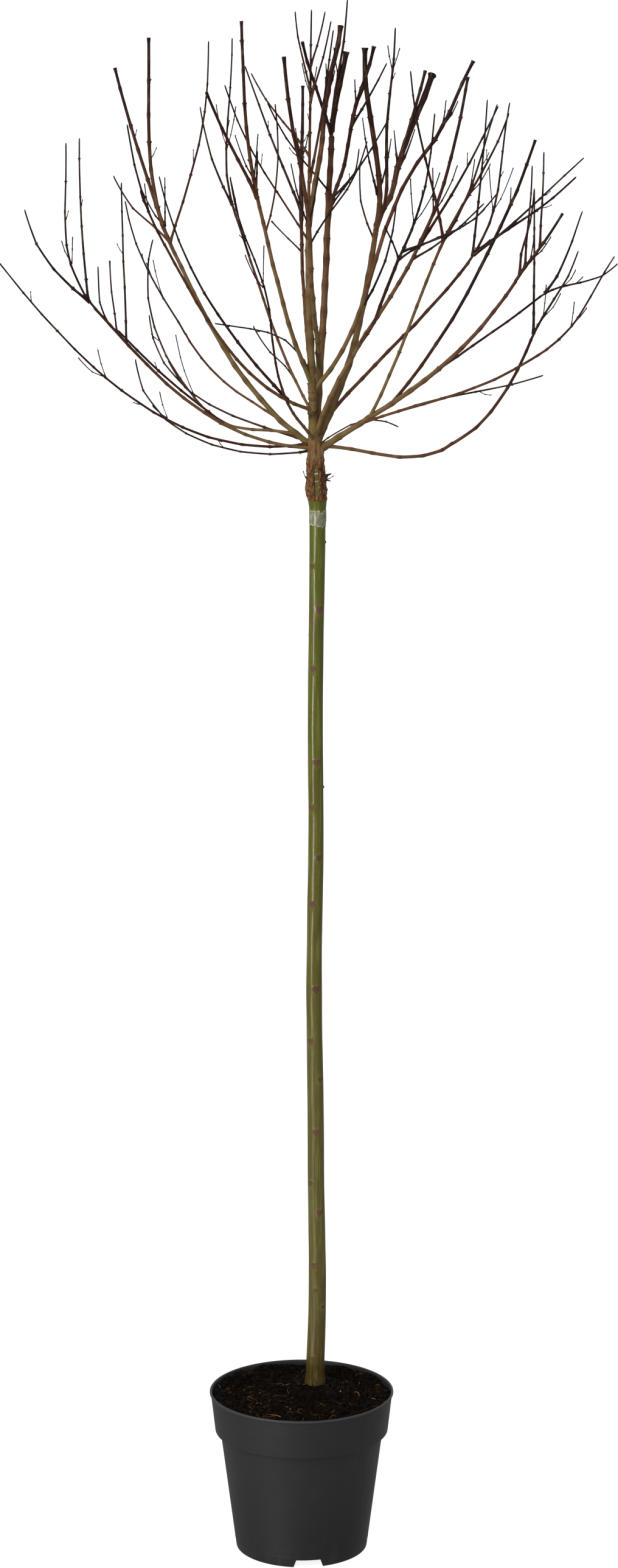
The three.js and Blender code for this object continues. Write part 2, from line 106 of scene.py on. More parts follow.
floor_mesh = bpy.data.meshes.new("floor")
floor_corners = [(-1, -1), (1, -1), (1, 1), (-1, 1)]
floor_vertices = [(x * floor_half, y * floor_half, 0) for x, y in floor_corners]
floor_mesh.from_pydata(floor_vertices, [], [(0, 1, 2, 3)])
floor = bpy.data.objects.new("floor", floor_mesh)
bpy.context.scene.collection.objects.link(floor)
floor_paint = bpy.data.materials.new("floor_paint")
floor_paint.use_nodes = True
floor_shader = floor_paint.node_tree.nodes["Principled BSDF"]
floor_shader.inputs["Base Color"].default_value = (0.5, 0.5, 0.5, 1)
floor_shader.inputs["Roughness"].default_value = 0.9
floor_shader.inputs["Emission Color"].default_value = (1, 1, 1, 1)
floor_shader.inputs["Emission Strength"].default_value = floor_glow
floor_mesh.materials.append(floor_paint)
floor.visible_diffuse = False
floor.visible_glossy = False
floor.visible_shadow = False
floor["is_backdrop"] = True


# The pot
# A thin nursery pot, injection moulded in black polypropylene: a deep collar to grip and stack
# by, a rolled lip, a raised floor with drain holes, and a foot ring with gaps for water.
class Value:
    """A socket of a node tree. Arithmetic on it adds Math nodes to that tree."""

    def __init__(self, nodes, socket):
        self.nodes = nodes
        self.socket = socket

    def math(self, operation, *terms):
        return self.nodes.add("ShaderNodeMath", {"operation": operation}, dict(enumerate(terms)))

    def __add__(self, other):
        return self.math("ADD", self, other)

    def __radd__(self, other):
        return self.math("ADD", other, self)

    def __sub__(self, other):
        return self.math("SUBTRACT", self, other)

    def __rsub__(self, other):
        return self.math("SUBTRACT", other, self)

    def __mul__(self, other):
        return self.math("MULTIPLY", self, other)

    def __rmul__(self, other):
        return self.math("MULTIPLY", other, self)

    def __truediv__(self, other):
        return self.math("DIVIDE", self, other)


class Nodes:
    """Adds nodes to one tree."""

    def __init__(self, tree):
        self.tree = tree

    def add(self, kind, settings=None, sockets=None, out=0):
        """One node: its settings first, then the values or links of its sockets."""
        node = self.tree.nodes.new(kind)
        for name, setting in (settings or {}).items():
            if name == "stops":
                self.set_stops(node.color_ramp.elements, setting)
            else:
                setattr(node, name, setting)
        for place, given in (sockets or {}).items():
            self.feed(node.inputs[place], given)
        return Value(self, node.outputs[out])

    def feed(self, socket, given):
        if isinstance(given, Value):
            self.tree.links.new(given.socket, socket)
        else:
            socket.default_value = given

    def set_stops(self, elements, stops):
        while len(elements) < len(stops):
            elements.new(1)
        for element, (place, colour) in zip(elements, stops):
            element.position = place
            element.color = colour


class Finish(Nodes):
    """A procedural material: one Principled shader, fed by this tree's values."""

    def __init__(self, name, constants):
        self.material = bpy.data.materials.new(name)
        self.material.use_nodes = True
        super().__init__(self.material.node_tree)
        self.tree.nodes.clear()
        self.shader = self.tree.nodes.new("ShaderNodeBsdfPrincipled")
        output = self.tree.nodes.new("ShaderNodeOutputMaterial")
        self.tree.links.new(self.shader.outputs[0], output.inputs["Surface"])
        self.place = self.add("ShaderNodeTexCoord", out="Object")
        for socket, constant in constants.items():
            self.shader.inputs[socket].default_value = constant

    def stretched(self, place, scale):
        return self.add("ShaderNodeMapping", {}, {"Vector": place, "Scale": scale})

    def noise(self, scale, detail=2.0, roughness=0.5, place=None, distortion=0.0):
        sockets = {"Vector": place or self.place, "Scale": scale, "Detail": detail}
        sockets.update({"Roughness": roughness, "Distortion": distortion})
        return self.add("ShaderNodeTexNoise", {}, sockets)

    def cells(self, scale, place=None):
        """How far each place is from the nearest point of a scatter."""
        return self.add("ShaderNodeTexVoronoi", {}, {"Vector": place or self.place, "Scale": scale})

    def step(self, value, low, high):
        """0 below low, 1 above high, and smooth between."""
        sockets = {"Value": value, "From Min": low, "From Max": high}
        return self.add("ShaderNodeMapRange", {"interpolation_type": "SMOOTHSTEP"}, sockets)

    def mix(self, share, first, second):
        return self.add("ShaderNodeMix", {"data_type": "RGBA"}, {0: share, 6: first, 7: second}, 2)

    def tinted(self, colour, *tints):
        """The colour with each tint laid over it in turn, given as how much and which."""
        for share, tint in tints:
            colour = self.mix(share, colour, tint)
        return colour

    def ramp(self, value, stops):
        return self.add("ShaderNodeValToRGB", {"stops": stops}, {"Fac": value})

    def known(self, name, out="Fac"):
        """What the mesh knows at each place under that name."""
        return self.add("ShaderNodeAttribute", {"attribute_name": name}, out=out)

    def bump(self, height, distance, normal=None):
        sockets = {"Height": height, "Distance": distance}
        if normal is not None:
            sockets["Normal"] = normal
        return self.add("ShaderNodeBump", {}, sockets)

    def show(self, **looks):
        names = {"colour": "Base Color", "roughness": "Roughness", "normal": "Normal"}
        for look, given in looks.items():
            self.feed(self.shader.inputs[names[look]], given)


def rounded(corners, steps=4):
    """A profile of (radius, height, rounding) corners in mm, as rounded (radius, height) in metres."""
    path = []
    for i, (radius, height, rounding) in enumerate(corners):
        corner = Vector((radius, height))
        if rounding == 0:
            path.append(corner)
            continue
        before = Vector(corners[i - 1][:2]) - corner
        after = Vector(corners[i + 1][:2]) - corner
        first = corner + before.normalized() * min(rounding, before.length * 0.45)
        last = corner + after.normalized() * min(rounding, after.length * 0.45)
        for k in range(steps + 1):
            share = k / steps
            path.append(first.lerp(corner, share).lerp(corner.lerp(last, share), share))
    return [(point.x / 1000, point.y / 1000) for point in path]


def turned(name, profile, sides):
    """A closed shape turned round the pot's axis, from a profile that begins and ends on it."""
    vertices, rings, faces = [], [], []
    for radius, height in profile:
        count = sides if radius > 1e-6 else 1
        rings.append(list(range(len(vertices), len(vertices) + count)))
        for i in range(count):
            turn = 2 * math.pi * i / sides
            vertices.append((radius * math.cos(turn), radius * math.sin(turn), height))
    for lower, upper in zip(rings, rings[1:]):
        for i in range(sides):
            j = (i + 1) % sides
            if len(lower) == 1:
                faces.append((lower[0], upper[j], upper[i]))
            elif len(upper) == 1:
                faces.append((lower[i], lower[j], upper[0]))
            else:
                faces.append((lower[i], lower[j], upper[j], upper[i]))
    mesh = bpy.data.meshes.new(name)
    mesh.from_pydata(vertices, [], faces)
    return mesh


def placed(name, mesh):
    shown = bpy.data.objects.new(name, mesh)
    bpy.context.scene.collection.objects.link(shown)
    return shown


def settled(holder):
    """The holder's mesh with its modifiers worked into it."""
    bpy.context.view_layer.update()
    graph = bpy.context.evaluated_depsgraph_get()
    evaluated = holder.evaluated_get(graph)
    mesh = bpy.data.meshes.new_from_object(evaluated, preserve_all_data_layers=True, depsgraph=graph)
    holder.modifiers.clear()
    return mesh


def less(body, cutters, name):
    """The body with the cutters' shapes taken out of it."""
    holder, tool = placed(name, body), placed(name + "_cutter", cutters)
    cut = holder.modifiers.new("cut", "BOOLEAN")
    cut.operation = "DIFFERENCE"
    cut.solver = "EXACT"
    cut.object = tool
    mesh = settled(holder)
    bpy.data.objects.remove(holder)
    bpy.data.objects.remove(tool)
    return mesh


pot_sides = 180
pot_profile = rounded([
    (0, 0, 0), (30, 0, 1.5), (35, 13, 2), (87, 13, 2), (92, 0, 1), (101, 0, 1.4),
    (102.7, 14.1, 0.3), (103.25, 14.9, 0.3), (103.1, 15.6, 0.3), (125, 185, 0.6), (133, 187, 1),
    (139.6, 245.4, 0.7), (141.5, 246, 0.9), (141.5, 249, 1.3), (138.1, 249, 1.2),
    (131.4, 188.6, 3), (123.4, 186.6, 2), (101, 14.6, 2), (36.6, 14.6, 1), (30, 1.6, 1), (0, 1.6, 0),
])
notch_count = 3
notch_outline = [(-0.023, -0.001), (0.023, -0.001), (0.0185, 0.012), (-0.0185, 0.012)]
notch_reach = (0.082, 0.106)
hole_count = 6
hole_ring, hole_radius, hole_height = 0.062, 0.008, 0.0138
front_notch_turn = -84
foot_cutters, hole_cutters = bmesh.new(), bmesh.new()
for i in range(notch_count):
    turn = math.radians(front_notch_turn + 360 / notch_count * i)
    corners = [foot_cutters.verts.new((u, y, z)) for y in notch_reach for u, z in notch_outline]
    foot_cutters.faces.new(corners[:4])
    foot_cutters.faces.new(corners[7:3:-1])
    for k in range(4):
        j = (k + 1) % 4
        foot_cutters.faces.new((corners[k], corners[k + 4], corners[j + 4], corners[j]))
    bmesh.ops.rotate(foot_cutters, verts=corners, matrix=Matrix.Rotation(turn - math.pi / 2, 3, "Z"))
for i in range(hole_count):
    turn = math.radians(front_notch_turn + 360 / hole_count * (i + 0.5))
    hole_place = (hole_ring * math.cos(turn), hole_ring * math.sin(turn), hole_height)
    bmesh.ops.create_cone(
        hole_cutters,
        cap_ends=True,
        segments=32,
        radius1=hole_radius,
        radius2=hole_radius,
        depth=0.006,
        matrix=Matrix.Translation(hole_place),
    )
cutter_meshes = []
for cutters in (foot_cutters, hole_cutters):
    bmesh.ops.recalc_face_normals(cutters, faces=cutters.faces)
    cutter_meshes.append(bpy.data.meshes.new("cutters"))
    cutters.to_mesh(cutter_meshes[-1])
    cutters.free()
pot_mesh = turned("nursery_pot", pot_profile, pot_sides)
for cutters in cutter_meshes:
    pot_mesh = less(pot_mesh, cutters, "pot_blank")
pot_mesh.shade_smooth()
pot_mesh.set_sharp_from_angle(angle=math.radians(35))

moulded = Finish("moulded_polypropylene", {"Specular IOR Level": 0.35})
grain = moulded.noise(900, 2, 0.6)
waves = moulded.noise(9, 3, 0.55)
scuffs = moulded.noise(70, 4, 0.7, moulded.stretched(moulded.place, (1, 1, 0.35)))
dust = moulded.step(moulded.noise(26, 5, 0.65), 0.56, 0.78)
height = moulded.add("ShaderNodeSeparateXYZ", {}, {0: moulded.place}, 2)
splashed = (1 - moulded.step(height, 0.004, 0.07)) * moulded.step(scuffs, 0.5, 0.66)
shaded = 1 - moulded.step(height, 0.01, 0.16)
# Painted highlight: a lighter band along the top of the lip.
rim_highlight = moulded.step(height, 0.2450, 0.2462)
plastic = moulded.tinted(
    moulded.mix(waves, paint(38, 38, 39), paint(47, 47, 49)),
    (dust * 0.25, paint(72, 70, 68)),
    (shaded * 0.7, paint(30, 30, 31)),
    (splashed * 0.12, paint(84, 78, 70)),
    (rim_highlight * 0.35, paint(82, 82, 84)),
)
moulded.show(
    colour=plastic,
    roughness=0.42 + 0.16 * scuffs + 0.12 * dust,
    normal=moulded.bump(waves, 0.0012, moulded.bump(grain, 0.00012)),
)
pot_mesh.materials.clear()
pot_mesh.materials.append(moulded.material)
nursery_pot = placed("nursery_pot", pot_mesh)
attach(nursery_pot, "root")
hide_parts("pot")


# The compost
# Dark fibrous peat and coir, filled to a finger's width below the lip, heaped against the pot and
# firmed up round the stem, with loose crumbs, coir threads, a few pale grains and a little moss.
def seeded(seed):
    """A repeatable run of numbers from 0 to 1, the same run that places the solid twigs."""
    state = seed

    def following():
        nonlocal state
        state = (state * 1664525 + 1013904223) % 2**32
        return state / 2**32

    return following


def smooth(value, low, high):
    share = min(max((value - low) / (high - low), 0), 1)
    return share * share * (3 - 2 * share)


# In mm: where the stem stands, the bed's height, depth and radius at its top and underside, how
# high it is heaped round the stem and at the pot, and the width and height of clods and crumbs.
stem_foot = (21, 50)
compost_top, compost_underside = 235, 205
compost_edge, compost_foot = 136.4, 133.5
stem_heap, stem_heap_reach = 8, (16.5, 80)
edge_heap, edge_heap_reach = 7, (100, 128)
clod_width, clod_rise = 19, 3.4
crumb_width, crumb_rise = 3.1, 1.5


def compost_height(x, y):
    """The height of the compost's top, all in mm."""
    near = 1 - smooth(math.hypot(x - stem_foot[0], y - stem_foot[1]), *stem_heap_reach)
    heaped = stem_heap * near + edge_heap * smooth(math.hypot(x, y), *edge_heap_reach)
    lump = 3 * math.sin(x / 17 + 1) * math.cos(y / 13)
    clods = clod_rise * noise.fractal(Vector((x / clod_width, y / clod_width, 0)), 0.6, 2.1, 5)
    crumbs = crumb_rise * abs(noise.noise(Vector((x / crumb_width, y / crumb_width, 4))))
    return compost_top + heaped + lump * (1 - near) + (clods + crumbs) * smooth(near, 1.25, 0.2)


compost_rings = 110
compost_sides = 220
compost_vertices, compost_faces = [(0, 0, compost_height(0, 0) / 1000)], []
for ring in range(1, compost_rings + 1):
    for i in range(compost_sides):
        turn = 2 * math.pi * (i + 0.5 * (ring % 2)) / compost_sides
        reach = compost_edge * ring / compost_rings
        x, y = reach * math.cos(turn), reach * math.sin(turn)
        compost_vertices.append((x / 1000, y / 1000, compost_height(x, y) / 1000))
for i in range(compost_sides):
    turn = 2 * math.pi * (i + 0.5 * (compost_rings % 2)) / compost_sides
    x, y = compost_foot / 1000 * math.cos(turn), compost_foot / 1000 * math.sin(turn)
    compost_vertices.append((x, y, compost_underside / 1000))
compost_vertices.append((0, 0, compost_underside / 1000))
for i in range(compost_sides):
    j = (i + 1) % compost_sides
    compost_faces.append((0, 1 + i, 1 + j))
    for ring in range(compost_rings):
        inner, outer = 1 + ring * compost_sides, 1 + (ring + 1) * compost_sides
        compost_faces.append((inner + i, outer + i, outer + j, inner + j))
    last = 1 + compost_rings * compost_sides
    compost_faces.append((last + i, len(compost_vertices) - 1, last + j))
compost_mesh = bpy.data.meshes.new("compost_bed")
compost_mesh.from_pydata(compost_vertices, [], compost_faces)
compost_mesh.shade_smooth()

peat = Finish("peat_and_coir", {"Specular IOR Level": 0.1})
clods = peat.noise(160, 6, 0.7)
threads = peat.noise(420, 3, 0.6, peat.stretched(peat.place, (1, 0.35, 1)), 1.5)
soil_stops = [(0.36, paint(4, 3, 2)), (0.52, paint(17, 12, 7)), (0.66, paint(50, 33, 16))]
green = peat.step(peat.known("moss"), 0.2, 0.9) * peat.step(clods, 0.38, 0.6)
soil = peat.tinted(
    peat.ramp(clods, soil_stops),
    (peat.step(threads, 0.64, 0.76) * 0.5, paint(88, 52, 22)),
    (green, paint(52, 60, 22)),
)
peat.show(
    colour=soil,
    roughness=0.85 + 0.1 * clods,
    normal=peat.bump(threads, 0.0006, peat.bump(clods, 0.0018)),
)
# Each cushion of moss: where its middle is, and how far it reaches.
moss_places = [(-58, -83, 17), (118, -50, 15), (66, -104, 9)]
open_bed = compost_mesh.attributes.new("open", "FLOAT", "POINT")
moss = compost_mesh.attributes.new("moss", "FLOAT", "POINT")
for vertex, entry, bed in zip(compost_mesh.vertices, moss.data, open_bed.data):
    place = vertex.co * 1000
    bed.value = math.hypot(place.x, place.y) < compost_edge - 4
    entry.value = max(1 - math.hypot(place.x - x, place.y - y) / reach for x, y, reach in moss_places)


class Steps(Nodes):
    """A Geometry Nodes tree with named inputs, for one mesh after another."""

    def __init__(self, name, inputs):
        super().__init__(bpy.data.node_groups.new(name, "GeometryNodeTree"))
        face = self.tree.interface
        face.new_socket("Geometry", in_out="OUTPUT", socket_type="NodeSocketGeometry")
        face.new_socket("Geometry", in_out="INPUT", socket_type="NodeSocketGeometry")
        self.sockets = {}
        for given, kind in inputs.items():
            socket = face.new_socket(given, in_out="INPUT", socket_type="NodeSocket" + kind)
            self.sockets[given] = socket.identifier
        self.inputs = self.tree.nodes.new("NodeGroupInput")
        self.output = self.tree.nodes.new("NodeGroupOutput")

    def given(self, name):
        return Value(self, self.inputs.outputs[name])

    def known(self, name, kind="FLOAT"):
        return self.add("GeometryNodeInputNamedAttribute", {"data_type": kind}, {"Name": name})

    def stored(self, geometry, name, value):
        """The geometry with one vector kept on each point."""
        sockets = {"Geometry": geometry, "Name": name, "Value": value}
        settings = {"data_type": "FLOAT_VECTOR"}
        return self.add("GeometryNodeStoreNamedAttribute", settings, sockets)

    def above(self, value, limit):
        return self.add("FunctionNodeCompare", {"operation": "GREATER_THAN"}, {0: value, 1: limit})

    def curve(self, mesh):
        return self.add("GeometryNodeMeshToCurve", {}, {"Mesh": mesh})

    def hoop(self, sides):
        sockets = {"Resolution": self.given(sides), "Radius": 1.0}
        return self.add("GeometryNodeCurvePrimitiveCircle", {}, sockets)

    def tube(self, line, hoop, scale):
        sockets = {"Curve": line, "Profile Curve": hoop, "Scale": scale, "Fill Caps": True}
        return self.add("GeometryNodeCurveToMesh", {}, sockets)

    def pushed(self, geometry, distance):
        """The geometry with each point moved along its normal."""
        ways = {0: self.add("GeometryNodeInputNormal"), 3: distance}
        ways = self.add("ShaderNodeVectorMath", {"operation": "SCALE"}, ways)
        return self.add("GeometryNodeSetPosition", {}, {"Geometry": geometry, "Offset": ways})

    def scattered(self, points, instance, rotation, scale):
        sockets = {"Points": points, "Instance": instance, "Rotation": rotation, "Scale": scale}
        return self.add("GeometryNodeInstanceOnPoints", {}, sockets)

    def joined(self, *pieces):
        node = self.tree.nodes.new("GeometryNodeJoinGeometry")
        for made in reversed(pieces):
            self.tree.links.new(made.socket, node.inputs[0])
        return Value(self, node.outputs[0])

    def finish(self, geometry):
        """Ends the tree: real, smooth and coloured."""
        real = self.add("GeometryNodeRealizeInstances", {}, {0: geometry})
        smoothed = self.add("GeometryNodeSetShadeSmooth", {}, {"Geometry": real})
        sockets = {"Geometry": smoothed, "Material": self.given("Material")}
        coloured = self.add("GeometryNodeSetMaterial", {}, sockets)
        self.tree.links.new(coloured.socket, self.output.inputs[0])

    def run(self, name, mesh, values):
        """The mesh that this tree makes of one mesh."""
        holder = placed(name + "_blank", mesh)
        modifier = holder.modifiers.new(name, "NODES")
        modifier.node_group = self.tree
        for given, value in values.items():
            modifier[self.sockets[given]] = value
        made = settled(holder)
        bpy.data.objects.remove(holder)
        return made


# Scatters crumbs on the compost: rough lumps, each with its own size and turn.
crumb_inputs = {name: "Float" for name in ("Density", "Least", "Most")}
crumbling = Steps("crumbling", {**crumb_inputs, "Seed": "Int", "Material": "Material"})
upward = crumbling.add("ShaderNodeSeparateXYZ", {}, {0: crumbling.add("GeometryNodeInputNormal")}, 2)
flat_top = crumbling.above(upward * crumbling.known("open"), 0.2)
spots = {"Mesh": crumbling.given("Geometry"), "Selection": flat_top}
spots.update({name: crumbling.given(name) for name in ("Density", "Seed")})
spots = crumbling.add("GeometryNodeDistributePointsOnFaces", {}, spots)
lump = crumbling.add("GeometryNodeMeshIcoSphere", {}, {"Radius": 0.5, "Subdivisions": 2})
rough = crumbling.add("ShaderNodeTexNoise", {}, {"Scale": 2.6, "Detail": 1.0}) - 0.5
lump = crumbling.pushed(lump, rough * 0.9)
size = {2: crumbling.given("Least"), 3: crumbling.given("Most"), "Seed": crumbling.given("Seed")}
size = crumbling.add("FunctionNodeRandomValue", {"data_type": "FLOAT"}, size, 1)
lean = {0: (-3.1, -3.1, -3.1), 1: (3.1, 3.1, 3.1), "Seed": 5}
lean = crumbling.add("FunctionNodeRandomValue", {"data_type": "FLOAT_VECTOR"}, lean)
lean = crumbling.add("FunctionNodeEulerToRotation", {}, {0: lean})
sizes = crumbling.add("ShaderNodeCombineXYZ", {}, {0: size, 1: size * 0.8, 2: size * 0.55})
crumbling.finish(crumbling.scattered(spots, lump, lean, sizes))


class Skeleton:
    """Middle lines, and what each of their points knows, for wood or fibre to be wrapped round."""

    def __init__(self):
        self.places, self.edges = [], []
        self.facts = {name: [] for name in ("girth", "along", "bark", "joint", "bud_size")}
        self.bud_ways = []

    def point(self, place, girth=0.0, along=0.0, bark=0.0, joint=0.0, bud_size=0.0, bud_way=(0, 0, 1)):
        self.places.append(tuple(part / 1000 for part in place))
        known = (girth / 1000, along / 1000, bark, joint, bud_size / 1000)
        for name, value in zip(self.facts, known):
            self.facts[name].append(value)
        self.bud_ways.append(tuple(bud_way))

    def line(self, rows):
        """rows: (place, girth, along, bark, joint) from foot to tip, in mm."""
        first = len(self.places)
        for row in rows:
            self.point(*row)
        self.edges += [(i, i + 1) for i in range(first, len(self.places) - 1)]

    def mesh(self, name):
        made = bpy.data.meshes.new(name)
        made.from_pydata(self.places, self.edges, [])
        for fact, values in self.facts.items():
            made.attributes.new(fact, "FLOAT", "POINT").data.foreach_set("value", values)
        flat = [part for way in self.bud_ways for part in way]
        made.attributes.new("bud_way", "FLOAT_VECTOR", "POINT").data.foreach_set("vector", flat)
        return made


# Wraps a round skin of the known girth about each line, and sets a pointed bud on each bud point.
wrap_inputs = {"Sides": "Int", "Relief": "Float", "Bud sides": "Int", "Material": "Material"}
wrapping = Steps("wrapping", wrap_inputs)
is_bud = wrapping.above(wrapping.known("bud_size"), 0.0)
parted = {"Geometry": wrapping.given("Geometry"), "Selection": is_bud}
bud_points = wrapping.add("GeometryNodeSeparateGeometry", {}, parted)
strands = wrapping.curve(Value(wrapping, bud_points.socket.node.outputs["Inverted"]))
hoop = wrapping.stored(wrapping.hoop("Sides"), "turn", wrapping.add("GeometryNodeInputPosition"))
half = wrapping.known("girth") * 0.5
skin = wrapping.tube(strands, hoop, half)
turn = wrapping.known("turn", "FLOAT_VECTOR")
across = wrapping.add("ShaderNodeSeparateXYZ", {}, {0: turn})
back = Value(wrapping, across.socket.node.outputs[1])
unrolled = {0: across * half, 1: back * half, 2: wrapping.known("along")}
unrolled = wrapping.add("ShaderNodeCombineXYZ", {}, unrolled)
skin = wrapping.stored(skin, "skin", unrolled)
ridged = {0: wrapping.known("skin", "FLOAT_VECTOR"), 1: (1, 1, 0.22)}
ridged = wrapping.add("ShaderNodeVectorMath", {"operation": "MULTIPLY"}, ridged)
ridged = wrapping.add("ShaderNodeTexNoise", {}, {"Vector": ridged, "Scale": 420.0, "Detail": 2.0}) - 0.5
skin = wrapping.pushed(skin, ridged * wrapping.given("Relief") * half)
spine_steps = 4
spine = {"Count": spine_steps + 1, "Start Location": (0, 0, -0.12)}
spine["Offset"] = (0, 0, 1.12 / spine_steps)
spine = wrapping.curve(wrapping.add("GeometryNodeMeshLine", {}, spine))
plump = wrapping.add("GeometryNodeInputIndex") * (math.pi * 0.8 / spine_steps) + math.pi * 0.17
bud = wrapping.tube(spine, wrapping.hoop("Bud sides"), plump.math("SINE", plump) * 0.3)
facing = {"Vector": wrapping.known("bud_way", "FLOAT_VECTOR")}
facing = wrapping.add("FunctionNodeAlignRotationToVector", {"axis": "Z"}, facing)
buds = wrapping.scattered(bud_points, bud, facing, wrapping.known("bud_size"))
wrapping.finish(wrapping.joined(skin, buds))

grit = Finish("white_grit", {"Roughness": 0.8})
grit.show(colour=grit.mix(grit.noise(900), paint(150, 146, 136), paint(196, 192, 182)))
coir = Finish("coir_thread", {"Specular IOR Level": 0.3, "Roughness": 0.7})
coir_stops = [(0.4, paint(54, 31, 14)), (0.52, paint(136, 82, 36)), (0.64, paint(216, 150, 84))]
coir.show(colour=coir.ramp(coir.noise(60, 3), coir_stops))

fibre_count = 95
fibre_bed = 131
fibre_steps = 8
fibre_random = seeded(71)
fibres = Skeleton()
for i in range(fibre_count):
    reach = fibre_bed * math.sqrt(fibre_random())
    turn = 2 * math.pi * fibre_random()
    way = 2 * math.pi * fibre_random()
    length = 8 + 26 * fibre_random() ** 1.6
    curl = (fibre_random() - 0.5) * 2.4
    lift = 1 + 5 * fibre_random() ** 2
    girth = 0.45 + 0.5 * fibre_random()
    x, y = reach * math.cos(turn), reach * math.sin(turn)
    rows = []
    for k in range(fibre_steps + 1):
        share = k / fibre_steps
        if math.hypot(x, y) < compost_edge - 3:
            rise = lift * math.sin(math.pi * share) * (0.7 + 0.3 * math.sin(5 * share + i))
            rows.append(((x, y, compost_height(x, y) - 0.4 + rise), girth * (1 - 0.5 * share), 0, 0, 0))
        heading = way + curl * share
        x += length / fibre_steps * math.cos(heading)
        y += length / fibre_steps * math.sin(heading)
    if len(rows) > 3:
        fibres.line(rows)
coir_values = {"Sides": 4, "Relief": 0.0, "Bud sides": 3, "Material": coir.material}
fibre_mesh = wrapping.run("coir", fibres.mesh("coir"), coir_values)

grit_mesh = bpy.data.meshes.new("grit_bed")
grit_spots = [(-5, 44), (-17, -47), (60, 20), (-80, 30), (90, -30)]
grit_faces = bmesh.new()
for i, (x, y) in enumerate(grit_spots):
    place = Matrix.Translation((x / 1000, y / 1000, compost_height(x, y) / 1000 + 0.0006))
    radius = 0.0007 + 0.0002 * (i % 3)
    bmesh.ops.create_icosphere(grit_faces, subdivisions=2, radius=radius, matrix=place)
grit_faces.to_mesh(grit_mesh)
grit_faces.free()

crumb_values = {"Density": 26000.0, "Least": 0.0016, "Most": 0.0062, "Seed": 3}
crumb_values["Material"] = peat.material
crumb_mesh = crumbling.run("crumbs", compost_mesh.copy(), crumb_values)
compost_mesh.materials.append(peat.material)
grit_mesh.materials.append(grit.material)
bed_pieces = {"compost_bed": compost_mesh, "compost_crumbs": crumb_mesh}
bed_pieces.update({"coir_threads": fibre_mesh, "grit_grains": grit_mesh})
for name, mesh in bed_pieces.items():
    laid = placed(name, mesh)
    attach(laid, "root")
    if name == "compost_bed":
        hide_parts("compost")


# The stem
# One straight green-barked stem, bred for its length, with the scars of rubbed-off buds in pairs
# up it. Near its top the head was grafted on: the union has healed in brown, cracked cork.
def eased(turns, place):
    """A value from a table of turning points, easing from each to the next."""
    after = next(i for i, turning in enumerate(turns) if turning[0] >= place - 1e-9)
    if after == 0:
        return turns[0][1]
    (start, before), (end, beyond) = turns[after - 1], turns[after]
    share = (place - start) / (end - start)
    return before + (beyond - before) * (0.5 - 0.5 * math.cos(math.pi * share))


stem_base = 243.3
stem_top = 1724
stem_bends = [
    (stem_base, 21), (394, 24.5), (620, 22), (890, 19.3), (1124, 22), (1281, 21), (1600, 24),
    (1690, 21), (stem_top, 18),
]
stem_girths = [
    (stem_base, 33), (262, 28.5), (394, 27), (560, 25.5), (1002, 23.4), (1400, 22.6), (1606, 24),
    (1637, 29.5), (1680, 27), (1698, 23.4), (1714, 20), (stem_top, 12),
]


def stem_middle(height):
    share = (height - stem_base) / (stem_top - stem_base)
    return Vector((eased(stem_bends, max(height, stem_base)), 50 - 40 * share, height))


# Height, how far across from the middle, and size of each bud scar on the front. Its twin is behind.
stem_scars = [
    (284, -1.6, 1.0), (370, 8.6, 0.6), (397, -2.7, 0.7), (437, -5.3, 1.0), (522, 5.2, 1.0),
    (569, -9, 0.9), (651, 0.8, 1.0), (735, 7.9, 0.9), (795, -6.8, 1.0), (877, 3.2, 1.1),
    (1010, -4.6, 1.0), (1082, 5.1, 1.0), (1159, -6.8, 0.9), (1229, 2.1, 1.0), (1371, -3.8, 0.9),
    (1461, 5, 1.15), (1526, -7.6, 0.8),
]
scars = []
for height, across, size in stem_scars:
    girth = eased(stem_girths, height)
    turn = -math.acos(max(-0.97, min(0.97, 2 * across / girth)))
    scars += [(height, turn, size), (height + 2, turn + math.pi, size * 0.9)]
# Height, turn from the front in degrees, and size of each rubbed bud that is still a stub.
stubs = [(1563, 66, 1.0), (1421, -118, 0.8), (1191, 84, 0.7), (1660, 88, 1.2), (1640, 84, 0.9)]
# Heights on the union: its cork with two lobes and a hump, the green strip up its front with
# pale bands (height and size), the wax below it, a tape over the wax, a dab of wax above, and the
# weathered wood from there up.
cork_foot, cork_top = 1625.5, 1690
lobe_foot, lobe_top = 1628, 1686
hump_middle = 1641
strip_foot, strip_top = 1632, 1678
strip_bands = [(1665.5, 1.3), (1654.3, 0.9), (1671, 0.5), (1643, 0.35)]
wax_foot, wax_top = 1587, 1610.5
tape_foot, tape_top = 1590, 1631
wax_dab = 1699
worn_foot, worn_full = 1680, 1698
# Beyond these heights the marks of cork, wax and dab are all 0.
cork_from, wax_from, wax_to, dab_from = 1620, 1578, 1634, 1676


def wrapped(turn):
    return (turn + math.pi) % (2 * math.pi) - math.pi


def stem_heights():
    """Closer rings where there is more to shape."""
    height = stem_base - 9
    while height < stem_top:
        yield height
        near_mark = any(abs(height - mark) < 11 for mark, *rest in scars + stubs)
        height += 0.9 if height > wax_from else 1.1 if near_mark else 5
    yield stem_top


def heart(aside, up, size):
    """0 in the middle of a heart-shaped bud scar and 1 at its edge."""
    across = abs(aside) / (5.1 * size)
    rise = up / (5.9 * size)
    wide = smooth(rise, -1.2, 0.2)
    crest = 0.78 + 0.3 * math.sin(math.pi * min(across, 1))
    return max(across / max(wide, 0.04), rise / crest, -rise / 1.2)


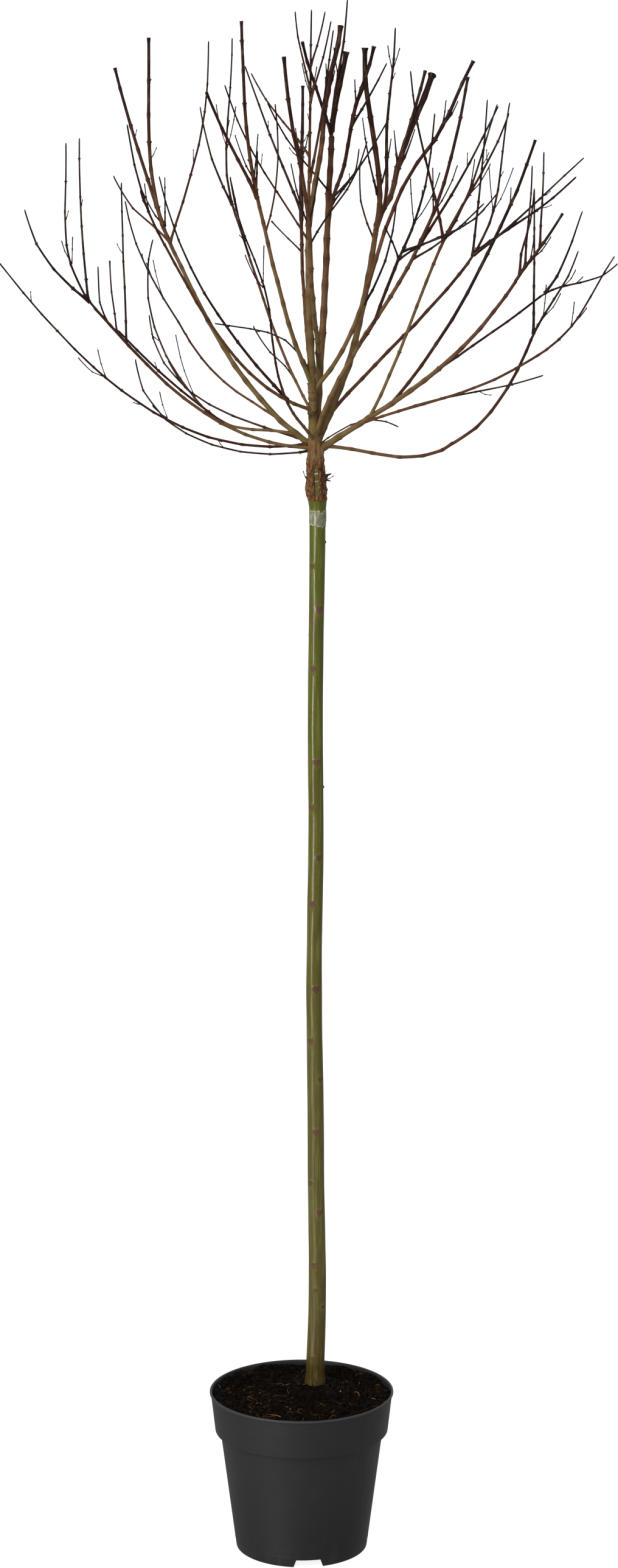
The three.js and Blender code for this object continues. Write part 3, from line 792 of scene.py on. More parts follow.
def scarred(height, turn, girth):
    """The scar, its yellowed halo and the relief of both, in mm, at one place of the stem."""
    scar = halo = relief = 0
    for scar_height, scar_turn, size in scars:
        up = height - scar_height
        if abs(up) > 17:
            continue
        aside = wrapped(turn - scar_turn) * girth / 2
        ragged = 0.16 * noise.noise(Vector((aside * 0.7, up * 0.7, scar_height)))
        away = heart(aside, up, size) + ragged
        scar = max(scar, smooth(away, 1.12, 0.9))
        halo = max(halo, smooth(math.hypot(aside / 9, up / 13), 1, 0.3))
        relief += size * 0.7 * math.exp(-((aside / 5.4) ** 2) - (up / 7.5) ** 2)
        relief -= 0.4 * smooth(away, 0.8, 0.3) - 0.35 * smooth(abs(away - 0.95), 0.16, 0.05)
    for stub_height, around, size in stubs:
        aside = wrapped(turn + math.pi / 2 - math.radians(around)) * girth / 2
        away = math.hypot(aside, (height - stub_height) * 0.8) / size
        scar = max(scar, smooth(away, 2.6, 1.4))
        relief += 2.4 * size * smooth(away, 3, 0.6)
    return scar, halo, relief


def corked(height, turn, aside, out):
    """Cork, cracks, the green strip and its pale bands, and the relief, at one place of the union."""
    flow = Vector((out.x * 2.3, out.y * 2.3, height / 13))
    wander = 1.6 * noise.noise(Vector((0, 3, height / 9)))
    foot_edge = cork_foot + 3 * noise.noise(Vector((out.x * 2.2, out.y * 2.2, 3)))
    foot_edge -= 2.2 * smooth(abs(aside - 5), 4, 1.5)
    cork = smooth(height, foot_edge - 0.9, foot_edge + 0.9)
    cork *= smooth(height, cork_top + 4, cork_top - 10)
    strip = smooth(abs(aside - 0.3 - 0.35 * wander), 3.2, 2.4)
    strip *= smooth(height, strip_foot, strip_foot + 2.5) * smooth(height, strip_top, strip_top - 4)
    band = 0
    for place, size in strip_bands:
        band = max(band, size / 1.3 * smooth(abs(height - place - 0.2 * aside), size, size * 0.3))
    lobes = smooth(abs(abs(aside) - 5.8 - 0.5 * wander), 3.6, 1.2)
    lobes *= smooth(height, lobe_foot, lobe_foot + 6) * smooth(height, lobe_top, lobe_top - 10)
    jolts = (flow * 1.7, flow * 1.7 + Vector((7, 0, 0)), flow + Vector((0, 9, 0)))
    jolt = Vector([noise.noise(place) for place in jolts])
    near, far = noise.voronoi(flow + 0.4 * jolt)[0][:2]
    crack = smooth(far - near, 0.16, 0.02)
    for seam in (-9.6, 9.4, -2.9, 3.1):
        crack = max(crack, smooth(abs(aside - seam - wander), 0.9, 0.2) * 0.9)
    knobs = noise.fractal(Vector((out.x * 5, out.y * 5, height / 5.5)), 0.7, 2.0, 4)
    hump = 1.9 * smooth(abs(height - hump_middle), 15, 3)
    hump *= smooth(abs(wrapped(turn - math.pi * 1.02)), 1.0, 0.2)
    rough = 0.35 + 1.5 * lobes + 0.8 * knobs - 1.5 * crack + hump
    relief = cork * (rough * (1 - strip) - 0.5 * strip)
    return cork * (1 - strip), crack * cork * (1 - strip), strip * band * cork, relief


def waxed(height, turn, aside, out):
    """The collar of grafting wax left on the stem, its torn rim, and how thick it lies."""
    torn = 3.2 * noise.noise(Vector((out.x * 2.6, out.y * 2.6, 8)))
    torn += 1.4 * noise.noise(Vector((out.x * 8, out.y * 8, 5)))
    foot_edge = wax_foot + torn - 0.12 * aside
    top_edge = wax_top - 0.7 * torn - 4.5 * smooth(abs(aside - 6.5), 3.4, 1)
    sideways = (2.05 - abs(wrapped(turn + math.pi / 2 + 0.35))) * 10
    inside = min(height - foot_edge, top_edge - height, sideways)
    wax = smooth(inside, 0, 0.7)
    rim = wax * smooth(inside, 1.9, 0.7)
    tape = smooth(height, tape_foot, tape_foot + 4) * smooth(height, tape_top, tape_top - 5)
    tape *= smooth(abs(wrapped(turn - 0.05)), 0.5, 0.36)
    return max(wax, tape * 0.9), rim, 0.3 * wax + 0.35 * rim + 0.7 * tape


stem_sides = 96
stem_vertices, stem_faces = [], []
stem_marks = {"cork": [], "crack": [], "scar": [], "halo": [], "wax": [], "rim": [], "worn": []}
for height in stem_heights():
    middle = stem_middle(height)
    girth = eased(stem_girths, min(max(height, stem_base), stem_top))
    worn = smooth(height, worn_foot, worn_full)
    for i in range(stem_sides):
        turn = 2 * math.pi * i / stem_sides
        out = Vector((math.cos(turn), math.sin(turn), 0))
        aside = wrapped(turn + math.pi / 2) * girth / 2
        reach = girth / 2 + 0.4 * noise.noise(Vector((out.x, out.y, height / 70)))
        scar, halo, relief = scarred(height, turn, girth)
        cork = crack = band = wax = rim = 0
        if height > cork_from:
            cork, crack, band, rise = corked(height, turn, aside, out)
            relief += rise
        if wax_from < height < wax_to:
            wax, rim, rise = waxed(height, turn, aside, out)
            wax *= 1 - cork
            relief += rise
        if height > dab_from:
            dab = smooth(abs(height - wax_dab), 7, 4) * smooth(abs(wrapped(turn + 0.25)), 0.5, 0.3)
            wax = max(wax, dab)
            folds = Vector((out.x * 2.4, out.y * 2.4, height / 16))
            relief += dab + worn * 1.1 * noise.fractal(folds, 0.7, 2.0, 3)
        stem_vertices.append(tuple((middle + out * (reach + relief)) / 1000))
        here = (cork, crack, scar, halo, wax, max(rim, band), worn)
        for marks, mark in zip(stem_marks.values(), here):
            marks.append(mark)
ring_count = len(stem_vertices) // stem_sides
for ring in range(ring_count - 1):
    for i in range(stem_sides):
        j = (i + 1) % stem_sides
        low, high = ring * stem_sides, (ring + 1) * stem_sides
        stem_faces.append((low + i, low + j, high + j, high + i))
stem_faces.append(tuple(range(stem_sides))[::-1])
stem_faces.append(tuple(range((ring_count - 1) * stem_sides, ring_count * stem_sides)))
stem_mesh = bpy.data.meshes.new("trunk")
stem_mesh.from_pydata(stem_vertices, [], stem_faces)
stem_mesh.shade_smooth()
for name, values in stem_marks.items():
    stem_mesh.attributes.new(name, "FLOAT", "POINT").data.foreach_set("value", values)

green_bark = Finish("green_bark", {"Specular IOR Level": 0.34})
height = green_bark.add("ShaderNodeSeparateXYZ", {}, {0: green_bark.place}, 2)


def drawn_out(scale, roughness, squeeze):
    """Marks on the bark that run up it."""
    squeezed = green_bark.stretched(green_bark.place, (1, 1, squeeze))
    return green_bark.noise(scale, 4, roughness, squeezed)


streaks = drawn_out(300, 0.65, 0.03)
blotches = drawn_out(34, 0.6, 0.22)
grime = drawn_out(90, 0.6, 0.12)
flakes = drawn_out(260, 0.6, 0.45)
pores = green_bark.step(green_bark.noise(700, 2, 0.5), 0.66, 0.74)
cork_share, scar_share = green_bark.known("cork"), green_bark.known("scar")
worn_share = green_bark.known("worn")
bark_stops = [
    (0.137, paint(74, 60, 28)), (0.17, paint(90, 78, 36)), (0.28, paint(95, 89, 41)),
    (0.5, paint(97, 91, 38)), (0.66, paint(96, 95, 34)), (0.84, paint(92, 97, 28)),
    (0.92, paint(90, 96, 26)), (0.96, paint(96, 84, 46)),
]
scarring = green_bark.mix(blotches, paint(74, 44, 34), paint(122, 86, 70))
old_stops = [(0.3, paint(78, 54, 30)), (0.5, paint(126, 92, 52)), (0.7, paint(158, 124, 80))]
old = green_bark.ramp(streaks * 0.5 + flakes * 0.5, old_stops)
cork_stops = [
    (0.3, paint(78, 48, 26)), (0.46, paint(122, 82, 46)), (0.6, paint(146, 102, 62)),
    (0.74, paint(196, 154, 112)),
]
cork = green_bark.ramp(flakes, cork_stops)
cork = green_bark.mix(green_bark.known("crack") * 0.85, cork, paint(48, 27, 19))
milky = green_bark.mix(green_bark.step(flakes, 0.42, 0.62), paint(128, 132, 104), paint(172, 172, 150))
bark = green_bark.tinted(
    green_bark.ramp(height / 1.75, bark_stops),
    (green_bark.step(blotches, 0.5, 0.7) * 0.55, paint(92, 78, 44)),
    (green_bark.step(streaks, 0.52, 0.64) * 0.36, paint(146, 142, 78)),
    (green_bark.step(grime, 0.56, 0.72) * 0.35, paint(60, 54, 30)),
    (pores * 0.45, paint(166, 156, 98)),
    (green_bark.known("halo") * 0.22, paint(134, 132, 54)),
    (scar_share * 0.92, scarring),
    (worn_share, old),
    (cork_share, cork),
    (green_bark.known("wax") * 0.78, milky),
    (green_bark.known("rim") * 0.85, paint(206, 202, 178)),
)
corky = cork_share + worn_share * 0.4 + 0.08
gloss = 0.14 * green_bark.step(height, 0.4, 1.3)
matt = 0.14 * blotches + 0.5 * cork_share + 0.3 * scar_share + 0.2 * worn_share
green_bark.show(
    colour=bark,
    roughness=0.32 - gloss + matt,
    normal=green_bark.bump(streaks * corky, 0.0006, green_bark.bump(flakes * corky, 0.0015)),
)
stem_mesh.materials.append(green_bark.material)
trunk = placed("trunk", stem_mesh)
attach(trunk, "root")
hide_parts("stem")


# The boughs
# Two and three year old wood, shortened by the secateurs: each one a single tapering limb that
# swells at its foot and at every pair of buds, olive near the stem and browner towards its tip.
class Line:
    """A limb's middle line, leaving and arriving in given directions, all in mm."""

    handle = 0.38
    parts = 200

    def __init__(self, start, leaving, tip, arriving):
        reach = self.handle * (tip - start).length
        self.corners = (start, start + leaving * reach, tip - arriving * reach, tip)
        self.measure()

    def point(self, t):
        a, b, c, d = self.corners
        s = 1 - t
        return a * (s * s * s) + b * (3 * s * s * t) + c * (3 * s * t * t) + d * (t * t * t)

    def measure(self):
        marks = [self.point(i / self.parts) for i in range(self.parts + 1)]
        steps = [(after - before).length for before, after in zip(marks, marks[1:])]
        self.lengths = np.concatenate(([0], np.cumsum(steps)))
        self.length = float(self.lengths[-1])

    def turn(self, share):
        return float(np.interp(share * self.length, self.lengths, np.linspace(0, 1, self.parts + 1)))

    def at(self, share):
        return self.point(self.turn(share))

    def way(self, share):
        t = self.turn(share)
        return (self.point(min(1, t + 0.0001)) - self.point(max(0, t - 0.0001))).normalized()

    def spaced(self, count):
        return [self.at(i / count) for i in range(count + 1)]

    def samples(self):
        return np.array([tuple(p) for p in self.spaced(math.ceil(self.length / 8))])


class StemLine(Line):
    def __init__(self):
        self.measure()

    def point(self, t):
        return stem_middle(stem_base + (stem_top - stem_base) * t)


def heading(start, tip, angle):
    """The direction from one point towards another, at an angle above level."""
    level = Vector((tip.x - start.x, tip.y - start.y, 0)).normalized()
    return level * math.cos(math.radians(angle)) + Vector((0, 0, math.sin(math.radians(angle))))


def across_from(along, turn):
    """Which way a bud faces: square to its twig, turned round it from the side."""
    flat = Vector((1, 0, 0))
    flat = (flat - along * flat.dot(along)).normalized()
    return Matrix.Rotation(math.radians(turn), 3, along) @ flat


# Along a limb, in girths from a joint's middle: where its rings are, how much of the swelling
# each has, and how much of the joint's darker bark.
joint_rings = ((-1.3, 0, 0), (-0.55, 0.6, 0.5), (0, 1, 1), (0.5, 0.7, 0.6), (1.1, 0, 0))
ring_spacing = 11


def lay_limb(skeleton, line, girths, barks, joints, turn, random, options):
    """Lays one limb: its rings from foot to tip, swollen at the joints, with a pair of buds at each.

    options: flare and sunk (the swollen foot and how deep it is sunk in what bears it), swelling,
    buds (their size for the girth), cut (a flat cut tip), back (how far it begins behind its foot)."""
    length = line.length
    foot, end = girths
    flare, sunk = options.get("flare", 0), options.get("sunk", 0)
    swelling, bud_size = options.get("swelling", 0.28), options.get("buds", 0.42)

    def girth_at(distance):
        share = min(max(distance / length, 0), 1)
        plain = foot + (end - foot) * share
        return plain * (1 + flare * math.exp(-max(0, distance - sunk) / (1.5 * foot)))

    stations = {0.0: (1, 0), length: (1, 0)}
    joint_places = sorted(share * length for share in joints)
    for distance in joint_places:
        girth = girth_at(distance)
        for step, grown, mask in joint_rings:
            place = distance + step * girth
            if 0 < place < length:
                stations[place] = (1 + swelling * grown, mask)
    places = sorted(stations)
    for before, after in zip(places, places[1:]):
        extra = int((after - before) / ring_spacing)
        for k in range(extra):
            stations[before + (after - before) * (k + 1) / (extra + 1)] = (1, 0)
    knots = [0.0] + joint_places + [length]
    sideways = [Vector((0, 0, 0))]
    for distance in joint_places:
        side = across_from(line.way(distance / length), 360 * random())
        sideways.append(side * girth_at(distance) * 0.16 * random())
    sideways.append(Vector((0, 0, 0)))

    def middle(distance):
        i = min(max(sum(1 for knot in knots if knot <= distance) - 1, 0), len(knots) - 2)
        share = (distance - knots[i]) / max(knots[i + 1] - knots[i], 1e-6)
        curved = line.at(distance / length)
        straight = line.at(knots[i] / length).lerp(line.at(knots[i + 1] / length), share)
        return curved.lerp(straight, 0.6) + sideways[i].lerp(sideways[i + 1], share)

    rows = []
    if options.get("back"):
        start = line.at(0) - line.way(0) * options["back"]
        rows.append((start, girth_at(0), -options["back"], barks[0], 0))
    for distance in sorted(stations):
        grown, mask = stations[distance]
        share = distance / length
        bark = barks[0] + (barks[1] - barks[0]) * share
        girth = girth_at(distance) * grown
        if options.get("cut") and distance == length:
            girth *= 1.3
        rows.append((middle(distance), girth, distance, bark, mask))
    skeleton.line(rows)
    for k, distance in enumerate(joint_places):
        along = line.way(distance / length)
        side = across_from(along, turn + 90 * k)
        girth = girth_at(distance)
        bark = barks[0] + (barks[1] - barks[0]) * distance / length + 0.15
        for way in (1, -1):
            if random() < options.get("missing", 0.1):
                continue
            size = (0.9 + girth * bud_size) * (0.8 + 0.4 * random())
            place = middle(distance) + side * way * girth * 0.5
            bud_way = along * 0.85 + side * way * 0.55
            skeleton.point(place, bark=bark, joint=0.4, bud_size=size, bud_way=bud_way)
    along = line.way(1)
    if options.get("cut"):
        side = across_from(along, turn + 90 * len(joint_places))
        for way in (1, -1):
            place = line.at(1) + side * way * end * 0.42 - along * end * 0.5
            bud_way = along + side * way * 0.6
            skeleton.point(place, bark=barks[1], joint=0.6, bud_size=end * 0.6, bud_way=bud_way)
    else:
        place, size = line.at(1) - along * 0.3, 2.6 + end * 0.6
        skeleton.point(place, bark=barks[1], joint=0.4, bud_size=size, bud_way=along)


def joint_shares(length, spacing, random, first=0.5):
    """Shares of a limb's length where its pairs of buds sit, unevenly spaced."""
    place, shares = spacing * first, []
    while place < length - spacing * 0.4:
        shares.append(place / length)
        place += spacing * (0.75 + 0.6 * random())
    return shares


def clear_of(joints, borne, gap):
    """The shares of the joints that stand clear of those where limbs leave, and these too."""
    return [s for s in joints if all(abs(s - b) > gap for b in borne)] + list(borne)


# Each bough as the solids have it: its parent and the share of that one's length where it
# leaves, its tip, how many degrees above level it leaves and arrives, its girths at foot and
# tip, and how brown its bark is at foot and tip, from green at 0 to red-black at 1.
boughs = [
    ("middle_upright", "stem", 0.997, (11, -40, 2041), 84, 96, (11.8, 7), (0.16, 0.38)),
    ("left_main", "stem", 0.984, (-187, 40, 1988), 36, 64, (7.8, 5), (0.14, 0.36)),
    ("right_main", "stem", 0.982, (312, -30, 1951), 32, 58, (8.6, 4.4), (0.18, 0.62)),
    ("left_low", "stem", 0.985, (-296, -110, 1918), 4, 48, (4.8, 3.8), (0.2, 0.76)),
    ("sweep_low", "right_main", 0.04, (225, 40, 1706), -4, 34, (5, 4.6), (0.3, 0.56)),
    ("sweep_high", "sweep_low", 1, (340, 60, 1858), 28, 66, (4.6, 4), (0.56, 0.8)),
    ("leader", "stem", 0.99, (44, 60, 2154), 80, 86, (10.4, 7.4), (0.24, 0.64)),
    ("back_top", "stem", 0.988, (113, 120, 2027), 48, 76, (11, 7.4), (0.2, 0.46)),
    ("right_back", "back_top", 0.16, (250, 150, 1965), 44, 48, (5.2, 4.4), (0.5, 0.7)),
    ("left_front", "middle_upright", 0.12, (-192, -210, 2015), 16, 54, (5, 3.4), (0.4, 0.6)),
    ("back_upright", "middle_upright", 0.17, (0, 200, 2025), 40, 84, (5, 5), (0.3, 0.7)),
    ("left_upright", "middle_upright", 0.24, (-60, -90, 2062), 56, 70, (6.4, 5), (0.14, 0.44)),
    ("back_left", "middle_upright", 0.1, (-100, 240, 2030), 34, 50, (4.2, 3.4), (0.36, 0.74)),
    ("left_back_low", "left_main", 0.1, (-141, 90, 1748), 10, 40, (4.4, 3.8), (0.34, 0.5)),
    ("left_back", "left_main", 0.18, (-176, 200, 1854), 18, 44, (3.6, 3), (0.4, 0.7)),
    ("front_left", "stem", 0.994, (-42, -250, 1907), 22, 72, (4.8, 2.8), (0.3, 0.85)),
    ("front_upright", "leader", 0.24, (13, -190, 2015), 46, 68, (7.4, 5.6), (0.2, 0.42)),
    ("middle_top", "middle_upright", 0.97, (33, 60, 2175), 66, 76, (7.6, 6.6), (0.3, 0.6)),
    ("front_top", "leader", 0.75, (71, -90, 2170), 42, 62, (5.4, 5), (0.5, 0.8)),
    ("right_high", "back_top", 0.96, (126, 85, 2099), 46, 98, (5, 4.8), (0.5, 0.8)),
    ("back_right_high", "back_top", 0.985, (140, 200, 2081), 44, 60, (7.4, 7.4), (0.42, 0.56)),
    ("right_upright", "middle_upright", 0.21, (180, -10, 2134), 46, 52, (6.4, 4.8), (0.2, 0.76)),
    ("right_front_high", "stem", 0.992, (163, -110, 1995), 70, 58, (6.4, 5), (0.22, 0.54)),
    ("front_right", "right_front_high", 0.5, (139, -200, 1996), 24, 40, (4.6, 4.4), (0.5, 0.92)),
    ("right_inner", "right_main", 0.24, (202, -60, 2002), 60, 64, (4.6, 4.2), (0.16, 0.5)),
    ("right_dark", "right_main", 0.34, (264, 60, 1963), 46, 60, (4.8, 4.6), (0.56, 0.96)),
    ("right_front_low", "right_main", 0.2, (351, -170, 1865), 20, 34, (4, 3.4), (0.5, 0.66)),
    ("right_back_low", "right_main", 0.56, (356, 110, 1917), 24, 28, (3.6, 3.2), (0.7, 0.86)),
]

twig_bark = Finish("twig_bark", {"Specular IOR Level": 0.18})
age = twig_bark.known("bark")
skin = twig_bark.known("skin", "Vector")
fine = twig_bark.noise(520, 4, 0.6, twig_bark.stretched(skin, (1, 1, 0.1)))
patches = twig_bark.noise(60, 3, 0.6)
pores = twig_bark.cells(420, twig_bark.stretched(skin, (1, 1, 0.6)))
wood_stops = [
    (0.0, paint(98, 90, 46)), (0.18, paint(122, 103, 62)), (0.34, paint(128, 101, 68)),
    (0.5, paint(106, 72, 48)), (0.66, paint(76, 40, 28)), (0.82, paint(44, 20, 16)),
    (1.0, paint(22, 9, 8)),
]
young = twig_bark.step(age, 0.5, 0.8)
wood = twig_bark.tinted(
    twig_bark.ramp(age + 0.22 * (patches - 0.5), wood_stops),
    # Pale fine streaks along the bark: partly the bark's own pale grain, partly painted highlight flecks.
    (twig_bark.step(fine, 0.52, 0.68) * 0.28, paint(168, 134, 96)),
    (twig_bark.step(fine, 0.46, 0.3) * 0.4, paint(48, 32, 24)),
    (twig_bark.known("joint") * 0.4, paint(74, 40, 28)),
    ((1 - twig_bark.step(pores, 0.12, 0.2)) * young * 0.2, paint(150, 100, 72)),
)
twig_bark.show(
    colour=wood,
    roughness=0.62 - 0.18 * young + 0.2 * (patches - 0.5),
    normal=twig_bark.bump(fine, 0.0004),
)


def grown_piece(name, skeleton, sides, relief, node):
    """Wraps a skeleton in bark and stands it in for its solid."""
    values = {"Sides": sides, "Relief": relief, "Bud sides": 5, "Material": twig_bark.material}
    grown = placed(name, wrapping.run(name, skeleton.mesh(name), values))
    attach(grown, "root")
    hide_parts(node)


stem_line = StemLine()
lines = {"stem": stem_line}
wood_samples = {"stem": stem_line.samples()}
girth_of = {"stem": lambda share: eased(stem_girths, stem_base + (stem_top - stem_base) * share)}
forks = {name: [] for name, *rest in boughs}
for name, parent, share, tip, leave, arrive, girths, barks in boughs:
    start = lines[parent].at(share)
    if share == 1:
        start += lines[parent].way(1) * 0.3
    tip = Vector(tip)
    line = Line(start, heading(start, tip, leave), tip, heading(start, tip, arrive))
    lines[name] = line
    wood_samples[name] = line.samples()
    girth_of[name] = lambda share, foot=girths[0], end=girths[1]: foot + (end - foot) * share
    if parent in forks and share < 0.99:
        forks[parent].append(share)
# Dead snags and short ends at the graft, each drawn with one bough: where it starts and ends, the
# angles there, and its girths.
snags = [
    ("right_main", (31, 8, 1661), (41.5, 4, 1664), 10, 20, (4.4, 3)),
    ("right_main", (31, 8, 1658), (40.5, 4, 1655), -20, -10, (4.8, 2.4)),
    ("right_main", (37, 5, 1657), (46, 2, 1661), 10, 40, (1.4, 0.9)),
    ("right_main", (26, 6, 1723), (38, 4, 1732), 0, 100, (1.6, 1.3)),
    ("left_main", (12, 8, 1654), (3.5, 4, 1667), 30, 75, (2, 1)),
    ("back_top", (46, 36, 1784), (52, 30, 1798), 60, 75, (2.6, 1.8)),
]
# How brown dead wood and spurs are at foot and tip, how far apart in mm a bough's joints are,
# and how much stouter than its solid each finished bough is.
dark_barks = (0.9, 0.98)
bough_joint_gap = 34
bough_fullness = 1.06
for i, (name, parent, share, tip, leave, arrive, girths, barks) in enumerate(boughs):
    random = seeded(200 + i)
    line = lines[name]
    joints = clear_of(joint_shares(line.length, bough_joint_gap, random, 1.2), forks[name], 0.05)
    skeleton = Skeleton()
    options = {"swelling": 0.16, "buds": 0.22, "missing": 0.35, "back": 2}
    options["flare"] = 0.3 if share < 1 else 0
    options["sunk"] = girth_of[parent](share) * 0.6
    full = (girths[0] * bough_fullness, girths[1] * bough_fullness)
    lay_limb(skeleton, line, full, barks, joints + [0.995], 45 * i, random, options)
    for bearer, start, end, leave, arrive, girths in snags:
        if bearer == name:
            start, end = Vector(start), Vector(end)
            snag = Line(start, heading(start, end, leave), end, heading(start, end, arrive))
            lay_limb(skeleton, snag, girths, dark_barks, [0.5], 0, random, {"missing": 1})
    grown_piece("limb_" + name, skeleton, 14, 0.1, "bough_" + name)


# The twigs
# Last year's whips, thin and straight between their pairs of buds: one tall whip grows on from
# each bough's tip and bears side twigs in opposite pairs, and these bear a few short shoots.
def bent_twig(start, leaving, tip, arrive):
    return Line(start, leaving, tip, heading(start, tip, arrive))


# In mm: how high a side twig may reach, how far it may stray from its mass's tall whip, and how
# near it may pass to other wood.
crown_top = 2352
mass_room = 150
wood_gap = 9


def near_any(points, others, gap):
    return any(np.min(np.linalg.norm(points[:, None] - other[None], axis=2)) < gap for other in others)


def side_twigs(main_name, share, lean, length, turn, seed):
    """A pair of side twigs by the rule of the solids: the lines of those with room."""
    random = seeded(seed)
    main = lines[main_name]
    main_points = wood_samples[main_name]
    others = [points for name, points in wood_samples.items() if name != main_name]
    middles = main.spaced(max(3, round(main.length / 75)))
    place = share * (len(middles) - 1)
    ring = min(int(place), len(middles) - 2)
    start = middles[ring].lerp(middles[ring + 1], place - ring)
    along = main.way(share)
    side = across_from(along, turn)
    kept = []
    for way in (1, -1):
        lean_here = math.radians(lean * (1 + 0.4 * (random() - 0.5)))
        length_here = main.length * (1 - share) * length * (1 - 0.4 * random())
        leaving = along * math.cos(lean_here) + side * (way * math.sin(lean_here))
        arriving = leaving.lerp(Vector((0, 0, 1)), 0.55).normalized()
        tip = start + (leaving + arriving).normalized() * length_here
        line = Line(start, leaving, tip, arriving)
        stray = np.min(np.linalg.norm(main_points - np.array(tip), axis=1))
        in_room = tip.z < crown_top and stray < mass_room
        if in_room and not near_any(line.samples()[2:], others, wood_gap):
            kept.append(line)
    return kept


# Each mass as the solids have it: the bough it grows on from, the tip of its tall whip and the
# angle there, its girths, the share of its length where it bears its pair of side twigs, their
# lean, length and turn, and the seed. Last, whether the tall whip ends in a cut.
masses = [
    ("left_main", (-222, 60, 2296), 88, (5.2, 4.2), 0.12, 22, 0.32, 0, 3, True),
    ("left_low", (-332, -150, 2150), 88, (3.2, 1.6), 0.3, 20, 0.3, 10, 5, False),
    ("left_back_low", (-223, 170, 1994), 112, (3, 1.6), 0.1, 22, 0.4, 40, 8, False),
    ("left_back", (-268, 290, 2044), 76, (2.8, 1.6), 0.3, 20, 0.5, 60, 2, False),
    ("left_front", (-240, -260, 2180), 78, (3.2, 1.6), 0.3, 20, 0.4, 70, 4, False),
    ("front_left", (-96, -340, 2112), 78, (2.8, 1.6), 0.25, 20, 0.5, 30, 6, False),
    ("back_left", (-105, 300, 2288), 86, (3.6, 1.6), 0.4, 18, 0.4, 15, 9, False),
    ("left_upright", (-84, -120, 2322), 86, (4.8, 3.8), 0.15, 20, 0.3, 5, 10, True),
    ("right_high", (137, 60, 2307), 88, (5, 2.4), 0.72, 22, 0.6, 0, 11, False),
    ("back_upright", (2, 330, 2219), 84, (6.4, 3.8), 0.45, 18, 0.4, 0, 12, True),
    ("middle_upright", (15, -60, 2334), 86, (4.6, 1.8), 0.6, 20, 0.4, 10, 13, False),
    ("middle_top", (58, 120, 2312), 76, (7.4, 6.2), 0.3, 18, 0.4, 30, 14, True),
    ("front_upright", (-23, -290, 2276), 82, (5.4, 4.4), 0.1, 20, 0.4, 10, 15, True),
    ("leader", (67, 40, 2348), 88, (5.5, 2), 0.45, 20, 0.4, 0, 16, False),
    ("front_top", (103, -140, 2287), 72, (5.2, 4.4), 0.3, 20, 0.45, 10, 17, True),
    ("back_top", (94, 130, 2280), 94, (7.2, 6.4), 0.15, 20, 0.6, 10, 18, True),
    ("back_right_high", (198, 280, 2238), 62, (7.8, 8.6), 0.12, 20, 0.4, 20, 19, True),
    ("right_upright", (249, 0, 2264), 62, (5, 4.2), 0.3, 18, 0.4, 0, 20, True),
    ("front_right", (182, -370, 2199), 76, (3.8, 2), 0.3, 20, 0.5, 10, 21, False),
    ("right_front_high", (234, -190, 2246), 76, (4.8, 3.6), 0.25, 20, 0.4, 20, 22, True),
    ("right_back", (311, 200, 2195), 76, (3.8, 1.8), 0.35, 22, 0.5, 0, 23, False),
    ("right_inner", (297, -60, 2188), 72, (4.4, 2.4), 0.4, 20, 0.5, 0, 24, False),
    ("right_dark", (344, 80, 2148), 72, (4.8, 3.8), 0.5, 20, 0.3, 20, 25, True),
    ("right_main", (378, -40, 2048), 62, (4.4, 3.2), 0.3, 24, 0.7, 0, 26, True),
    ("right_back_low", (470, 140, 1961), 46, (3, 1.6), 0.3, 24, 0.5, 0, 27, False),
    ("right_front_low", (438, -230, 1997), 54, (3.2, 1.8), 0.3, 22, 0.4, 0, 28, False),
    ("sweep_high", (408, 80, 1983), 72, (3.6, 1.6), 0.25, 22, 0.6, 0, 29, False),
]
# Masses that grow from the stem itself: the share of its length and the angle where each leaves.
stem_masses = [
    ("far_left", 0.99, -8, (-432, -90, 1979), 52, (3.8, 2), 0.6, 30, 0.3, 0, 30, False),
    ("under_left", 0.984, -14, (-244, 40, 1827), 86, (2.8, 1.5), 0.7, 32, 0.4, 30, 31, False),
]

placed_masses = []
for name, tip, arrive, girths, *rule in masses:
    bough = lines[name]
    leaving = bough.way(1)
    line = bent_twig(bough.at(1) + leaving * 0.3, leaving, Vector(tip), arrive)
    placed_masses.append((name, line, girths, rule, {"back": 2.5, "foot bark": 0.05}))
for name, share, leave, tip, arrive, girths, *rule in stem_masses:
    start = stem_line.at(share)
    tip = Vector(tip)
    line = bent_twig(start, heading(start, tip, leave), tip, arrive)
    placed_masses.append((name, line, girths, rule, {"flare": 0.6, "sunk": 14, "foot bark": 0.0}))
for name, line, *rest in placed_masses:
    lines["twigs_" + name] = line
    wood_samples["twigs_" + name] = line.samples()

